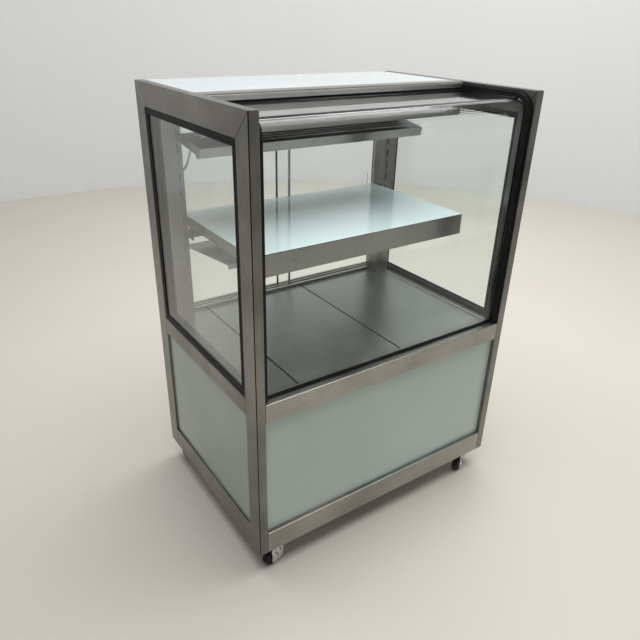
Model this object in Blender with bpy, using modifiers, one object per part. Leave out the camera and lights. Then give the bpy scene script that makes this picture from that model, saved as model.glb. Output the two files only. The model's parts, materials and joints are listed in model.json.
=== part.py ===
"""A small glass display case for cakes and pastries, on four casters.

Stainless side frames carry pair glass, a bent front glass closes the front and half of the top,
and the back has two sliding glass doors. A closed base holds the cooling unit.
Units are metres. +Z is up, the front faces -Y and the origin is on the floor under the middle.
"""

import math

import bmesh
import bpy
from mathutils import Euler, Matrix, Vector
from mathutils.geometry import interpolate_bezier

# Overall size
CASE_WIDTH = 0.700
CASE_DEPTH = 0.500
CASE_HEIGHT = 0.990
CASTER_HEIGHT = 0.058
BASE_HEIGHT = 0.390
FIT_GAP = 0.0003
EDGE_ROUND = 0.0012

# Fineness of the rounded shapes
EDGE_STEPS = 2
ROUND_STEPS = 32
PIN_STEPS = 16
HALF_ROUND_STEPS = 10
SHARP_ANGLE = math.radians(35)
WELD_DISTANCE = 0.000001

# Side frames
FRAME_THICKNESS = 0.020
POST_WIDTH = 0.045
TOP_RAIL_HEIGHT = 0.048
MID_RAIL_HEIGHT = 0.041
BOTTOM_RAIL_HEIGHT = 0.055
MITRE_GAP = 0.0006

# Side pair glass and lower panels
SIDE_PANE = 0.004
SIDE_PANE_SPACING = 0.008
SIDE_GLASS_RECESS = 0.003
SIDE_SPACER_WIDTH = 0.010
PANEL_THICKNESS = 0.006
SIDE_PANEL_RECESS = 0.005

# Front rails and panel
FRONT_MID_RAIL_HEIGHT = 0.044
FRONT_MID_RAIL_DEPTH = 0.0375
FRONT_BOTTOM_RAIL_DEPTH = 0.035
FRONT_PANEL_RECESS = 0.010

# Bent front glass
FRONT_GLASS_SETBACK = 0.018
FRONT_PANE = 0.006
BEND_RADIUS = 0.030
BEND_STEPS = 12
TOP_GLASS_DROP = 0.018
BENT_GLASS_DEPTH = 0.212
SIDE_GASKET = 0.0035
REAR_GASKET = 0.003
FOOT_GASKET = 0.0015
GASKET_OUTER_LIP = 0.014
GASKET_INNER_LIP = 0.0015
GASKET_GRIP = 0.004

# Top panel and the beam under its front edge
ROOF_DROP = 0.006
TOP_PANEL_THICKNESS = 0.005
BEAM_SHEET = 0.002
BEAM_HEIGHT = 0.069
BEAM_FLANGE = 0.055
BEAM_RETURN = 0.020
BEAM_TRIM_WIDTH = 0.036

# Rear frame
HEADER_HEIGHT = 0.054
HEADER_DEPTH = 0.045
JAMB_WIDTH = 0.024
JAMB_DEPTH = 0.030
PILLAR_WIDTH = 0.042
PILLAR_SIDE_GAP = 0.005
PILLAR_SETBACK = 0.078
PILLAR_WELD = 0.001
SILL_HEIGHT = 0.034
SILL_DEPTH = 0.038
SILL_RISE = 0.004
SLOT_WIDTH = 0.005
SLOT_HEIGHT = 0.018
SLOT_DEPTH = 0.004
SLOT_PITCH = 0.032
SLOT_FIRST_HEIGHT = 0.120
SLOT_COUNT = 10
SLOT_EDGE = 0.010

# Sliding doors
DOOR_GLASS = 0.005
DOOR_OVERLAP = 0.024
DOOR_SIDE_GAP = 0.0006
LEFT_STILE_WIDTH = 0.006
RIGHT_STILE_WIDTH = 0.003
DOOR_STILE_THICKNESS = 0.007
INNER_TRACK = 0.025
OUTER_TRACK = 0.011
GROOVE_WIDTH = 0.008
SILL_GROOVE_DEPTH = 0.006
HEADER_GROOVE_DEPTH = 0.014
DOOR_LIFT_ROOM = 0.006
PULL_LENGTH = 0.080
PULL_WIDTH = 0.018
PULL_DEPTH = 0.002
PULL_EDGE = 0.030

# Base plate, rear louvre panel and cooling tub
BASE_PLATE = 0.004
LOUVRE_SHEET = 0.003
LOUVRE_RECESS = 0.006
LOUVRE_ROWS = 9
LOUVRE_COLUMNS = 2
LOUVRE_PITCH = 0.024
LOUVRE_SLOT = 0.008
LOUVRE_MARGIN = 0.060
TUB_DEPTH = 0.150
TUB_WALL = 0.022
TUB_FLOOR = 0.030

# Deck plates
DECK_SHEET = 0.002
DECK_DROP = 0.003
DECK_SIDE_GAP = 0.008
DECK_END_GAP = 0.0015
DECK_SEAM = 0.0015
DECK_WIDE_PLATE = 0.276

# Shelf, its two brackets and the bar that carries them
SHELF_SIDE_GAP = 0.002
SHELF_DEPTH = 0.339
SHELF_REAR_GAP = 0.011
SHELF_ABOVE_DECK = 0.259
SHELF_SHEET = 0.002
SHELF_FRONT_LIP = 0.048
SHELF_SIDE_LIP = 0.024
BRACKET_SHEET = 0.003
BRACKET_INSET = 0.012
BRACKET_FRONT_GAP = 0.040
BRACKET_HEIGHT = 0.020
BRACKET_LEG = 0.019
BRACKET_SEAT_WIDTH = 0.014
SHELF_BAR_DEPTH = 0.0102
SHELF_BAR_HEIGHT = 0.023
SHELF_BAR_DROP = 0.040

# Lamps: the top one hangs by its end ears, the shelf one by two tabs
HOOD_SHEET = 0.002
TOP_HOOD_SETBACK = 0.298
TOP_HOOD_DROP = 0.107
TOP_HOOD_DEPTH = 0.100
TOP_HOOD_TILT = math.radians(8.5)
TOP_HOOD_FRONT_LIP = 0.020
TOP_HOOD_REAR_LIP = 0.012
EAR_SHEET = 0.003
EAR_HEIGHT = 0.018
SHELF_HOOD_SIDE_GAP = 0.001
SHELF_HOOD_DEPTH = 0.2341
SHELF_HOOD_REAR_GAP = 0.010
SHELF_HOOD_DROP = 0.0524
SHELF_HOOD_TILT = math.radians(-6.8)
SHELF_HOOD_LIP = 0.010
HOOD_TAB_WIDTH = 0.030
HOOD_TAB_SPACING = 0.300
LAMP_RADIUS = 0.008
LAMP_CAP_RADIUS = 0.0085
LAMP_CAP_LENGTH = 0.016
LAMP_SETBACK = 0.024
LAMP_DROP = 0.018
HOLDER_THICKNESS = 0.009
HOLDER_INSET = 0.004
SHELF_HOLDER_INSET = 0.040
HOLDER_RADIUS = 0.011
LEAD_RADIUS = 0.003
LEAD_ROUND_STEPS = 3
LEAD_POINTS = 10
LEAD_STUB = 0.004
LEAD_START_HANDLE = 0.050
LEAD_END_HANDLE = 0.024
LEAD_END_SETBACK = 0.054
LEAD_END_DROP = 0.181

# Casters
CASTER_SIDE_INSET = 0.053
CASTER_END_INSET = 0.0255
WHEEL_RADIUS = 0.020
WHEEL_WIDTH = 0.016
WHEEL_ROUND = 0.003
WHEEL_SPIN_GAP = 0.0010
CASTER_TRAIL = 0.017
CASTER_HEAD_RADIUS = 0.016
CASTER_HEAD_HEIGHT = 0.006
FORK_SHEET = 0.0025
FORK_TOP_HALF = 0.0128
BRIDGE_HALF = 0.0112
CHEEK_BACK = 0.0225
CHEEK_FRONT = 0.0125
CHEEK_FOOT = 0.006
CHEEK_CORNER = 0.0045
CHEEK_SHOULDER = 0.036
AXLE_RADIUS = 0.003
AXLE_CLEARANCE = 0.0003
AXLE_HEAD = 0.0015
WHEEL_STEPS = 40
WHEEL_ROUND_STEPS = 3
CASTER_PLACES = {
    "front_left": (-1, -1, math.radians(16)),
    "front_right": (1, -1, math.radians(24)),
    "rear_left": (-1, 1, math.radians(8)),
    "rear_right": (1, 1, math.radians(12)),
}

# Cooling unit
CONDENSER_SIZE = (0.240, 0.050, 0.190)
CONDENSER_SIDE_INSET = 0.190
CONDENSER_SETBACK = 0.060
CONDENSER_FINS = 15
EVAPORATOR_SIZE = (0.400, 0.070, 0.076)
EVAPORATOR_SETBACK = 0.140
EVAPORATOR_FINS = 21
FIN_THICKNESS = 0.003
FIN_FOOT = 0.008
FAN_RADIUS = 0.078
FAN_BLADES = 5
FAN_BLADE_CHORD = 0.021
FAN_BLADE_SHEET = 0.002
FAN_BLADE_PITCH = math.radians(32)
FAN_HUB_RADIUS = 0.012
FAN_BLADE_ROOT = 0.0084
FAN_HUB_LENGTH = 0.014
FAN_GAP = 0.006
MOTOR_RADIUS = 0.016
MOTOR_LENGTH = 0.030
STRAP_SHEET = 0.004
STRAP_HEIGHT = 0.016
COMPRESSOR_RADIUS = 0.072
COMPRESSOR_HEIGHT = 0.170
COMPRESSOR_CROWN = 0.030
CROWN_STEPS = 6
COMPRESSOR_FOOT = 0.160
COMPRESSOR_FOOT_SHEET = 0.006
COMPRESSOR_SIDE_INSET = 0.160
COMPRESSOR_SETBACK = 0.230

# Places that follow from the sizes
HALF_WIDTH = CASE_WIDTH / 2
HALF_DEPTH = CASE_DEPTH / 2
INNER_X = HALF_WIDTH - FRAME_THICKNESS
BASE_Z = CASTER_HEIGHT
MID_Z = BASE_Z + BASE_HEIGHT
OPEN_Y = HALF_DEPTH - POST_WIDTH
OPEN_TOP = CASE_HEIGHT - TOP_RAIL_HEIGHT
SPAN_X = INNER_X - FIT_GAP
GLASS_FRONT = FRONT_GLASS_SETBACK - HALF_DEPTH
GLASS_TOP = CASE_HEIGHT - TOP_GLASS_DROP
BEAM_Y = BENT_GLASS_DEPTH - HALF_DEPTH
ROOF_Z = CASE_HEIGHT - ROOF_DROP
HEADER_Z = ROOF_Z - HEADER_HEIGHT
JAMB_X = INNER_X - JAMB_WIDTH
JAMB_Y = HALF_DEPTH - JAMB_DEPTH
SILL_Y = HALF_DEPTH - SILL_DEPTH
SILL_TOP = MID_Z + SILL_RISE
SILL_Z = SILL_TOP - SILL_HEIGHT
PILLAR_OUTER = INNER_X - PILLAR_SIDE_GAP
PILLAR_X = PILLAR_OUTER - PILLAR_WIDTH
PILLAR_Y = HALF_DEPTH - PILLAR_SETBACK
PILLAR_REAR = SILL_Y - FIT_GAP
SHELF_WIDTH = 2 * (PILLAR_X - SHELF_SIDE_GAP)
SHELF_HOOD_WIDTH = SHELF_WIDTH - 2 * SHELF_HOOD_SIDE_GAP
DECK_TOP = MID_Z - DECK_DROP
TUB_TOP = DECK_TOP - DECK_SHEET - FIT_GAP
TUB_Z = TUB_TOP - TUB_DEPTH
SHELF_TOP = DECK_TOP + SHELF_ABOVE_DECK
SHELF_BAR_TOP = SHELF_TOP - SHELF_BAR_DROP
SHELF_BAR_UNDER = SHELF_BAR_TOP - SHELF_BAR_HEIGHT
EAR_X = PILLAR_X + SLOT_EDGE
UNIT_FLOOR = BASE_Z + BASE_PLATE + FIT_GAP

# Surfaces: colour, roughness, metallic, alpha
FINISHES = {
    "hairline_steel": ((0.44, 0.42, 0.39), 0.36, 1.0, 1.0),
    "bright_sheet": ((0.62, 0.64, 0.64), 0.24, 1.0, 1.0),
    "clear_glass": ((0.86, 0.93, 0.91), 0.03, 0.0, 0.18),
    "white_glass": ((0.80, 0.87, 0.84), 0.08, 0.0, 1.0),
    "black_seal": ((0.012, 0.012, 0.013), 0.55, 0.0, 1.0),
    "dark_aluminium": ((0.09, 0.09, 0.10), 0.40, 1.0, 1.0),
    "lamp_white": ((0.92, 0.91, 0.86), 0.30, 0.0, 1.0),
    "zinc_plate": ((0.60, 0.60, 0.62), 0.30, 1.0, 1.0),
    "caster_tread": ((0.02, 0.02, 0.02), 0.55, 0.0, 1.0),
    "foam_liner": ((0.70, 0.72, 0.72), 0.50, 0.0, 1.0),
    "fin_aluminium": ((0.68, 0.69, 0.70), 0.38, 1.0, 1.0),
    "black_enamel": ((0.02, 0.02, 0.022), 0.35, 0.0, 1.0),
}

for old in list(bpy.data.objects):
    bpy.data.objects.remove(old, do_unlink=True)

case = bpy.data.collections.new("bakery_display_case")
bpy.context.scene.collection.children.link(case)
tools = bpy.data.collections.new("cutters")
bpy.context.scene.collection.children.link(tools)

YZ_PLANE = Euler((math.pi / 2, 0.0, math.pi / 2)).to_matrix().to_4x4()
XZ_PLANE = Euler((math.pi / 2, 0.0, 0.0)).to_matrix().to_4x4()


def surface(name):
    """The named finish, as one Principled material that its pieces share."""
    made = bpy.data.materials.get(name)
    if made:
        return made
    colour, roughness, metallic, alpha = FINISHES[name]
    made = bpy.data.materials.new(name)
    made.use_nodes = True
    shader = made.node_tree.nodes["Principled BSDF"]
    shader.inputs["Base Color"].default_value = (*colour, 1.0)
    shader.inputs["Roughness"].default_value = roughness
    shader.inputs["Metallic"].default_value = metallic
    shader.inputs["Alpha"].default_value = alpha
    return made


def put(name, mesh, finish, matrix=None, edge=0.0, parent=None):
    """An object for the mesh in the case's collection, with its finish and softened edges."""
    mesh.materials.clear()
    mesh.materials.append(surface(finish))
    piece = bpy.data.objects.new(name, mesh)
    case.objects.link(piece)
    if parent:
        piece.parent = parent
    piece.matrix_local = matrix or Matrix.Identity(4)
    if edge:
        soften = piece.modifiers.new("soft_edges", "BEVEL")
        soften.width = edge
        soften.segments = EDGE_STEPS
        soften.limit_method = "ANGLE"
    return piece


def fresh_mesh(name, shape, smooth=False):
    mesh = bpy.data.meshes.new(name)
    shape.to_mesh(mesh)
    shape.free()
    if smooth:
        mesh.shade_smooth()
        mesh.set_sharp_from_angle(angle=SHARP_ANGLE)
    return mesh


def block(name, low, high, finish, edge=0.0, parent=None):
    """A box between two corners, with its origin in its middle."""
    low, high = Vector(low), Vector(high)
    shape = bmesh.new()
    bmesh.ops.create_cube(shape, size=1.0)
    bmesh.ops.scale(shape, vec=high - low, verts=shape.verts)
    matrix = Matrix.Translation((low + high) / 2)
    return put(name, fresh_mesh(name, shape), finish, matrix, edge, parent)


def slab(name, loops, start, end, plane, finish, edge=0.0, parent=None):
    """Flat closed outlines, the first the outside and the others holes, thick from start to end."""
    curve = bpy.data.curves.new(name + "_outline", "CURVE")
    curve.dimensions = "2D"
    curve.fill_mode = "BOTH"
    curve.extrude = (end - start) / 2
    for loop in loops:
        spline = curve.splines.new("POLY")
        spline.points.add(len(loop) - 1)
        spline.use_cyclic_u = True
        for point, (across, up) in zip(spline.points, loop):
            point.co = (across, up, 0.0, 1.0)
    guide = bpy.data.objects.new(name + "_outline", curve)
    case.objects.link(guide)
    graph = bpy.context.evaluated_depsgraph_get()
    mesh = bpy.data.meshes.new_from_object(guide.evaluated_get(graph))
    bpy.data.objects.remove(guide, do_unlink=True)
    bpy.data.curves.remove(curve)
    mesh.name = name
    shape = bmesh.new()
    shape.from_mesh(mesh)
    bmesh.ops.remove_doubles(shape, verts=shape.verts, dist=WELD_DISTANCE)
    shape.to_mesh(mesh)
    shape.free()
    matrix = plane @ Matrix.Translation((0.0, 0.0, (start + end) / 2))
    return put(name, mesh, finish, matrix, edge, parent)


def drum(name, radius, length, place, axis, finish, parent=None, steps=ROUND_STEPS):
    """A plain cylinder centred on place, along X, Y or Z."""
    shape = bmesh.new()
    bmesh.ops.create_cone(
        shape, cap_ends=True, segments=steps, radius1=radius, radius2=radius, depth=length
    )
    turn = {"X": (0, math.pi / 2, 0), "Y": (math.pi / 2, 0, 0), "Z": (0, 0, 0)}[axis]
    matrix = Matrix.Translation(place) @ Euler(turn).to_matrix().to_4x4()
    return put(name, fresh_mesh(name, shape, True), finish, matrix, 0.0, parent)


def turned(name, profile, steps, finish, matrix, parent=None):
    """A profile of (radius, height), top to bottom down its outer side, swept a full turn round Z."""
    shape = bmesh.new()
    points = [shape.verts.new((radius, 0.0, height)) for radius, height in profile]
    closed = profile[0][0] > 0 and profile[-1][0] > 0
    ends = points[1:] + points[:1] if closed else points[1:]
    for first, second in zip(points, ends):
        shape.edges.new((first, second))
    piece = put(name, fresh_mesh(name, shape), finish, matrix, 0.0, parent)
    screw = piece.modifiers.new("turned", "SCREW")
    screw.steps = steps
    screw.render_steps = steps
    screw.use_merge_vertices = True
    screw.merge_threshold = WELD_DISTANCE
    return piece


def boolean(piece, tool, operation):
    """Cuts the tool out of the piece, or joins it on, and puts the tool away."""
    case.objects.unlink(tool)
    tools.objects.link(tool)
    tool.hide_render = True
    tool.display_type = "WIRE"
    step = piece.modifiers.new(tool.name, "BOOLEAN")
    step.object = tool
    step.operation = operation
    step.solver = "MANIFOLD"


def rectangle(low_across, low_up, high_across, high_up):
    return [
        (low_across, low_up),
        (high_across, low_up),
        (high_across, high_up),
        (low_across, high_up),
    ]


def arc(centre, radius, start, end, steps):
    """Points round a centre from one angle to another, in degrees."""
    turns = [math.radians(start + (end - start) * step / steps) for step in range(steps + 1)]
    return [(centre[0] + radius * math.cos(t), centre[1] + radius * math.sin(t)) for t in turns]


def span(sign, outer, inner):
    """Low and high X of a layer that lies between two distances from the middle, on one side."""
    return sorted((sign * outer, sign * inner))


# Side frames: two posts with a mitred top rail, and mid and bottom rails butted between the posts
def side_frame(side, sign):
    low, high = span(sign, HALF_WIDTH, INNER_X)
    for place, turn in (("front", -1), ("rear", 1)):
        outline = [
            (turn * HALF_DEPTH, BASE_Z),
            (turn * OPEN_Y, BASE_Z),
            (turn * OPEN_Y, OPEN_TOP),
            (turn * HALF_DEPTH, CASE_HEIGHT),
        ]
        name = f"{side}_{place}_post"
        slab(name, [outline], low, high, YZ_PLANE, "hairline_steel", EDGE_ROUND)
    long_half = HALF_DEPTH - MITRE_GAP
    short_half = OPEN_Y - MITRE_GAP
    outline = [
        (-long_half, CASE_HEIGHT),
        (-short_half, OPEN_TOP),
        (short_half, OPEN_TOP),
        (long_half, CASE_HEIGHT),
    ]
    slab(f"{side}_top_rail", [outline], low, high, YZ_PLANE, "hairline_steel", EDGE_ROUND)
    reach = OPEN_Y - FIT_GAP
    rails = (
        ("mid", MID_Z - MID_RAIL_HEIGHT, MID_Z),
        ("bottom", BASE_Z, BASE_Z + BOTTOM_RAIL_HEIGHT),
    )
    for place, under, top in rails:
        name = f"{side}_{place}_rail"
        block(name, (low, -reach, under), (high, reach, top), "hairline_steel", EDGE_ROUND)


# Side pair glass: an outer and an inner pane held apart by a black edge spacer
def side_glass(side, sign):
    reach = OPEN_Y - FIT_GAP
    under, top = MID_Z + FIT_GAP, OPEN_TOP - FIT_GAP
    outer_face = HALF_WIDTH - SIDE_GLASS_RECESS
    spacer_face = outer_face - SIDE_PANE
    inner_face = spacer_face - SIDE_PANE_SPACING
    for name, face in (("outer", outer_face), ("inner", inner_face)):
        low, high = span(sign, face, face - SIDE_PANE)
        block(f"{side}_{name}_glass", (low, -reach, under), (high, reach, top), "clear_glass")
    low, high = span(sign, spacer_face - FIT_GAP, inner_face + FIT_GAP)
    outside = rectangle(-reach, under, reach, top)
    inside = rectangle(
        SIDE_SPACER_WIDTH - reach,
        under + SIDE_SPACER_WIDTH,
        reach - SIDE_SPACER_WIDTH,
        top - SIDE_SPACER_WIDTH,
    )
    slab(f"{side}_glass_spacer", [outside, inside], low, high, YZ_PLANE, "black_seal")


# Lower side panels: white-backed glass set back in the lower opening of the frame
def side_panel(side, sign):
    reach = OPEN_Y - FIT_GAP
    face = HALF_WIDTH - SIDE_PANEL_RECESS
    low, high = span(sign, face, face - PANEL_THICKNESS)
    under = BASE_Z + BOTTOM_RAIL_HEIGHT + FIT_GAP
    top = MID_Z - MID_RAIL_HEIGHT - FIT_GAP
    block(f"{side}_lower_panel", (low, -reach, under), (high, reach, top), "white_glass")


# Front rails and the white-backed glass panel between them
def front_base():
    rail_under = MID_Z - FRONT_MID_RAIL_HEIGHT
    rail_top = BASE_Z + BOTTOM_RAIL_HEIGHT
    block(
        "front_mid_rail",
        (-SPAN_X, -HALF_DEPTH, rail_under),
        (SPAN_X, FRONT_MID_RAIL_DEPTH - HALF_DEPTH, MID_Z),
        "hairline_steel",
        EDGE_ROUND,
    )
    block(
        "front_bottom_rail",
        (-SPAN_X, -HALF_DEPTH, BASE_Z),
        (SPAN_X, FRONT_BOTTOM_RAIL_DEPTH - HALF_DEPTH, rail_top),
        "hairline_steel",
        EDGE_ROUND,
    )
    face = FRONT_PANEL_RECESS - HALF_DEPTH
    block(
        "front_lower_panel",
        (-SPAN_X, face, rail_top + FIT_GAP),
        (SPAN_X, face + PANEL_THICKNESS, rail_under - FIT_GAP),
        "white_glass",
    )


def bent_path(inset, foot_trim, rear_trim):
    """The bent glass's line at a depth under its outer face, from its foot up and back to the beam."""
    centre = (GLASS_FRONT + BEND_RADIUS, GLASS_TOP - BEND_RADIUS)
    foot = [(GLASS_FRONT + inset, MID_Z + FIT_GAP + foot_trim)]
    rear = [(BEAM_Y - FIT_GAP - rear_trim, GLASS_TOP - inset)]
    return foot + arc(centre, BEND_RADIUS - inset, 180, 90, BEND_STEPS) + rear


def bent_sheet(name, outer, inner, half, finish, foot_trim=0.0, rear_trim=0.0):
    outline = bent_path(outer, foot_trim, rear_trim) + bent_path(inner, foot_trim, rear_trim)[::-1]
    return slab(name, [outline], -half, half, YZ_PLANE, finish)


# Bent front glass: one J-shaped pane in a black gasket that grips its edges and lines the frame
def front_glass():
    seat = SPAN_X - SIDE_GASKET
    half = seat - FIT_GAP
    start, end = -GASKET_OUTER_LIP, FRONT_PANE + GASKET_INNER_LIP
    rear = REAR_GASKET + FIT_GAP
    bent_sheet("front_outer_glass", 0.0, FRONT_PANE, half, "clear_glass", FOOT_GASKET, rear)
    gasket = bent_sheet("front_glass_gasket", start, end, SPAN_X, "black_seal")
    window = seat - GASKET_GRIP
    window_rear = REAR_GASKET + GASKET_GRIP
    channel_end = FRONT_PANE + FIT_GAP
    channel_foot = FOOT_GASKET - FIT_GAP
    hollows = (
        ("reveal", 2 * start, -GASKET_INNER_LIP, seat, -GASKET_GRIP, REAR_GASKET),
        ("window", 2 * start, end + GASKET_INNER_LIP, window, GASKET_GRIP, window_rear),
        ("channel", -FIT_GAP, channel_end, seat, channel_foot, REAR_GASKET),
    )
    for name, first, last, reach, foot_trim, rear_trim in hollows:
        hollow = bent_sheet(f"gasket_{name}", first, last, reach, "black_seal", foot_trim, rear_trim)
        boolean(gasket, hollow, "DIFFERENCE")


# Top: a folded beam behind the bent glass, and a white-backed panel from its trim to the rear header
def top():
    foot = ROOF_Z - BEAM_HEIGHT
    under = ROOF_Z + FIT_GAP
    crest = under + TOP_PANEL_THICKNESS
    trim_rear = BEAM_Y + BEAM_TRIM_WIDTH
    outline = [
        (BEAM_Y, foot),
        (BEAM_Y + BEAM_RETURN, foot),
        (BEAM_Y + BEAM_RETURN, foot + BEAM_SHEET),
        (BEAM_Y + BEAM_SHEET, foot + BEAM_SHEET),
        (BEAM_Y + BEAM_SHEET, crest - BEAM_SHEET),
        (trim_rear - BEAM_SHEET, crest - BEAM_SHEET),
        (trim_rear - BEAM_SHEET, ROOF_Z - BEAM_SHEET),
        (BEAM_Y + BEAM_FLANGE, ROOF_Z - BEAM_SHEET),
        (BEAM_Y + BEAM_FLANGE, ROOF_Z),
        (trim_rear, ROOF_Z),
        (trim_rear, crest),
        (BEAM_Y, crest),
    ]
    slab("top_beam", [outline], -SPAN_X, SPAN_X, YZ_PLANE, "hairline_steel")
    block(
        "top_panel",
        (-SPAN_X, trim_rear + FIT_GAP, under),
        (SPAN_X, HALF_DEPTH - FIT_GAP, crest),
        "white_glass",
    )


def tracks():
    """The Y of the two door tracks, the inner one first."""
    return HALF_DEPTH - INNER_TRACK, HALF_DEPTH - OUTER_TRACK


# Rear frame: jambs with a slotted pillar, a header and a sill, both grooved for the sliding doors
def rear_frame():
    header = [(HALF_DEPTH - HEADER_DEPTH, HEADER_Z)]
    sill = [(SILL_Y, SILL_TOP)]
    for track in tracks():
        near, far = track - GROOVE_WIDTH / 2, track + GROOVE_WIDTH / 2
        roof = HEADER_Z + HEADER_GROOVE_DEPTH
        floor = SILL_TOP - SILL_GROOVE_DEPTH
        header += [(near, HEADER_Z), (near, roof), (far, roof), (far, HEADER_Z)]
        sill += [(near, SILL_TOP), (near, floor), (far, floor), (far, SILL_TOP)]
    header += [
        (HALF_DEPTH, HEADER_Z),
        (HALF_DEPTH, ROOF_Z),
        (HALF_DEPTH - HEADER_DEPTH, ROOF_Z),
    ]
    sill += [(HALF_DEPTH, SILL_TOP), (HALF_DEPTH, SILL_Z), (SILL_Y, SILL_Z)]
    slab("rear_header", [header], -SPAN_X, SPAN_X, YZ_PLANE, "hairline_steel")
    reach = JAMB_X - FIT_GAP
    slab("rear_sill", [sill], -reach, reach, YZ_PLANE, "hairline_steel")
    for side, sign in (("left", -1), ("right", 1)):
        low, high = span(sign, JAMB_X, SPAN_X)
        jamb = block(
            f"{side}_jamb",
            (low, JAMB_Y, BASE_Z),
            (high, HALF_DEPTH, HEADER_Z - FIT_GAP),
            "hairline_steel",
        )
        outline = [
            (PILLAR_X, PILLAR_Y),
            (PILLAR_OUTER, PILLAR_Y),
            (PILLAR_OUTER, JAMB_Y + PILLAR_WELD),
            (JAMB_X + PILLAR_WELD, JAMB_Y + PILLAR_WELD),
            (JAMB_X + PILLAR_WELD, PILLAR_REAR),
            (PILLAR_X, PILLAR_REAR),
        ]
        outline = [(sign * across, back) for across, back in outline[::sign]]
        foot, head = DECK_TOP + FIT_GAP, HEADER_Z - FIT_GAP
        pillar = slab(
            f"{side}_pillar", [outline], foot, head, Matrix.Identity(4), "hairline_steel"
        )
        boolean(jamb, pillar, "UNION")
        boolean(jamb, shelf_slots(side, sign), "DIFFERENCE")


def shelf_slots(side, sign):
    """The row of slots that the lamp ears hook into, as one cutter."""
    shape = bmesh.new()
    middle = EAR_X + EAR_SHEET / 2
    for number in range(SLOT_COUNT):
        made = bmesh.ops.create_cube(shape, size=1.0)
        size = Vector((SLOT_WIDTH, 2 * SLOT_DEPTH, SLOT_HEIGHT))
        height = MID_Z + SLOT_FIRST_HEIGHT + number * SLOT_PITCH
        bmesh.ops.scale(shape, vec=size, verts=made["verts"])
        bmesh.ops.translate(shape, vec=(sign * middle, PILLAR_Y, height), verts=made["verts"])
    return put(f"{side}_jamb_slots", fresh_mesh("slots", shape), "black_seal")


# Sliding doors: a glass pane with a ground finger pull, and a dark stile on its meeting edge
def door(side, sign, track, stile_width):
    under = SILL_TOP - SILL_GROOVE_DEPTH + FIT_GAP
    top = HEADER_Z + HEADER_GROOVE_DEPTH - DOOR_LIFT_ROOM
    meeting = -sign * DOOR_OVERLAP / 2
    closing = sign * (JAMB_X - DOOR_SIDE_GAP)
    low, high = sorted((meeting, closing))
    face = DOOR_GLASS / 2
    pane = block(
        f"{side}_door_glass", (low, track - face, under), (high, track + face, top), "clear_glass"
    )
    bend = PULL_WIDTH / 2
    straight = PULL_LENGTH / 2 - bend
    across = sign * (JAMB_X - PULL_EDGE)
    middle = (SILL_TOP + HEADER_Z) / 2
    outline = arc((across, middle + straight), bend, 0, 180, HALF_ROUND_STEPS)
    outline += arc((across, middle - straight), bend, 180, 360, HALF_ROUND_STEPS)
    pull_face = -track - face
    start, end = pull_face - PULL_DEPTH, pull_face + PULL_DEPTH
    pull = slab(f"{side}_door_pull", [outline], start, end, XZ_PLANE, "clear_glass")
    boolean(pane, pull, "DIFFERENCE")
    edge = meeting - sign * FIT_GAP
    low, high = sorted((edge, edge - sign * stile_width))
    thick = DOOR_STILE_THICKNESS / 2
    block(
        f"{side}_door_stile",
        (low, track - thick, SILL_TOP + FIT_GAP),
        (high, track + thick, HEADER_Z - FIT_GAP),
        "dark_aluminium",
        EDGE_ROUND,
    )


# Base: the plate that the casters and the cooling unit stand on, and the louvred rear panel
def base():
    reach = JAMB_X - FIT_GAP
    face = HALF_DEPTH - LOUVRE_RECESS
    front = FRONT_BOTTOM_RAIL_DEPTH - HALF_DEPTH + FIT_GAP
    jamb_front = JAMB_Y - FIT_GAP
    rear = face - LOUVRE_SHEET - FIT_GAP
    half_outline = [(SPAN_X, front), (SPAN_X, jamb_front), (reach, jamb_front), (reach, rear)]
    outline = half_outline + [(-across, back) for across, back in half_outline[::-1]]
    slab("base_plate", [outline], BASE_Z, BASE_Z + BASE_PLATE, Matrix.Identity(4), "zinc_plate")
    panel = block(
        "rear_louvre_panel",
        (-reach, face - LOUVRE_SHEET, BASE_Z),
        (reach, face, SILL_Z - FIT_GAP),
        "hairline_steel",
    )
    shape = bmesh.new()
    width = (2 * reach - (LOUVRE_COLUMNS + 1) * LOUVRE_MARGIN) / LOUVRE_COLUMNS
    middle = (BASE_Z + SILL_Z) / 2
    for row in range(LOUVRE_ROWS):
        height = middle + (row - (LOUVRE_ROWS - 1) / 2) * LOUVRE_PITCH
        for column in range(LOUVRE_COLUMNS):
            across = (column - (LOUVRE_COLUMNS - 1) / 2) * (width + LOUVRE_MARGIN)
            made = bmesh.ops.create_cube(shape, size=1.0)
            size = Vector((width, LOUVRE_SHEET + LOUVRE_RECESS, LOUVRE_SLOT))
            bmesh.ops.scale(shape, vec=size, verts=made["verts"])
            place = (across, face - LOUVRE_SHEET / 2, height)
            bmesh.ops.translate(shape, vec=place, verts=made["verts"])
    slots = put("louvre_slots", fresh_mesh("louvre_slots", shape), "black_seal")
    boolean(panel, slots, "DIFFERENCE")


# Cooling tub: an insulated pan, open at the top, under the deck plates
def cooling_tub():
    front = FRONT_MID_RAIL_DEPTH - HALF_DEPTH + FIT_GAP
    rear = SILL_Y - FIT_GAP
    tub = block("cooling_tub", (-SPAN_X, front, TUB_Z), (SPAN_X, rear, TUB_TOP), "foam_liner")
    hollow = block(
        "tub_hollow",
        (TUB_WALL - SPAN_X, front + TUB_WALL, TUB_Z + TUB_FLOOR),
        (SPAN_X - TUB_WALL, rear - TUB_WALL, TUB_TOP + TUB_FLOOR),
        "foam_liner",
    )
    boolean(tub, hollow, "DIFFERENCE")


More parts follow.
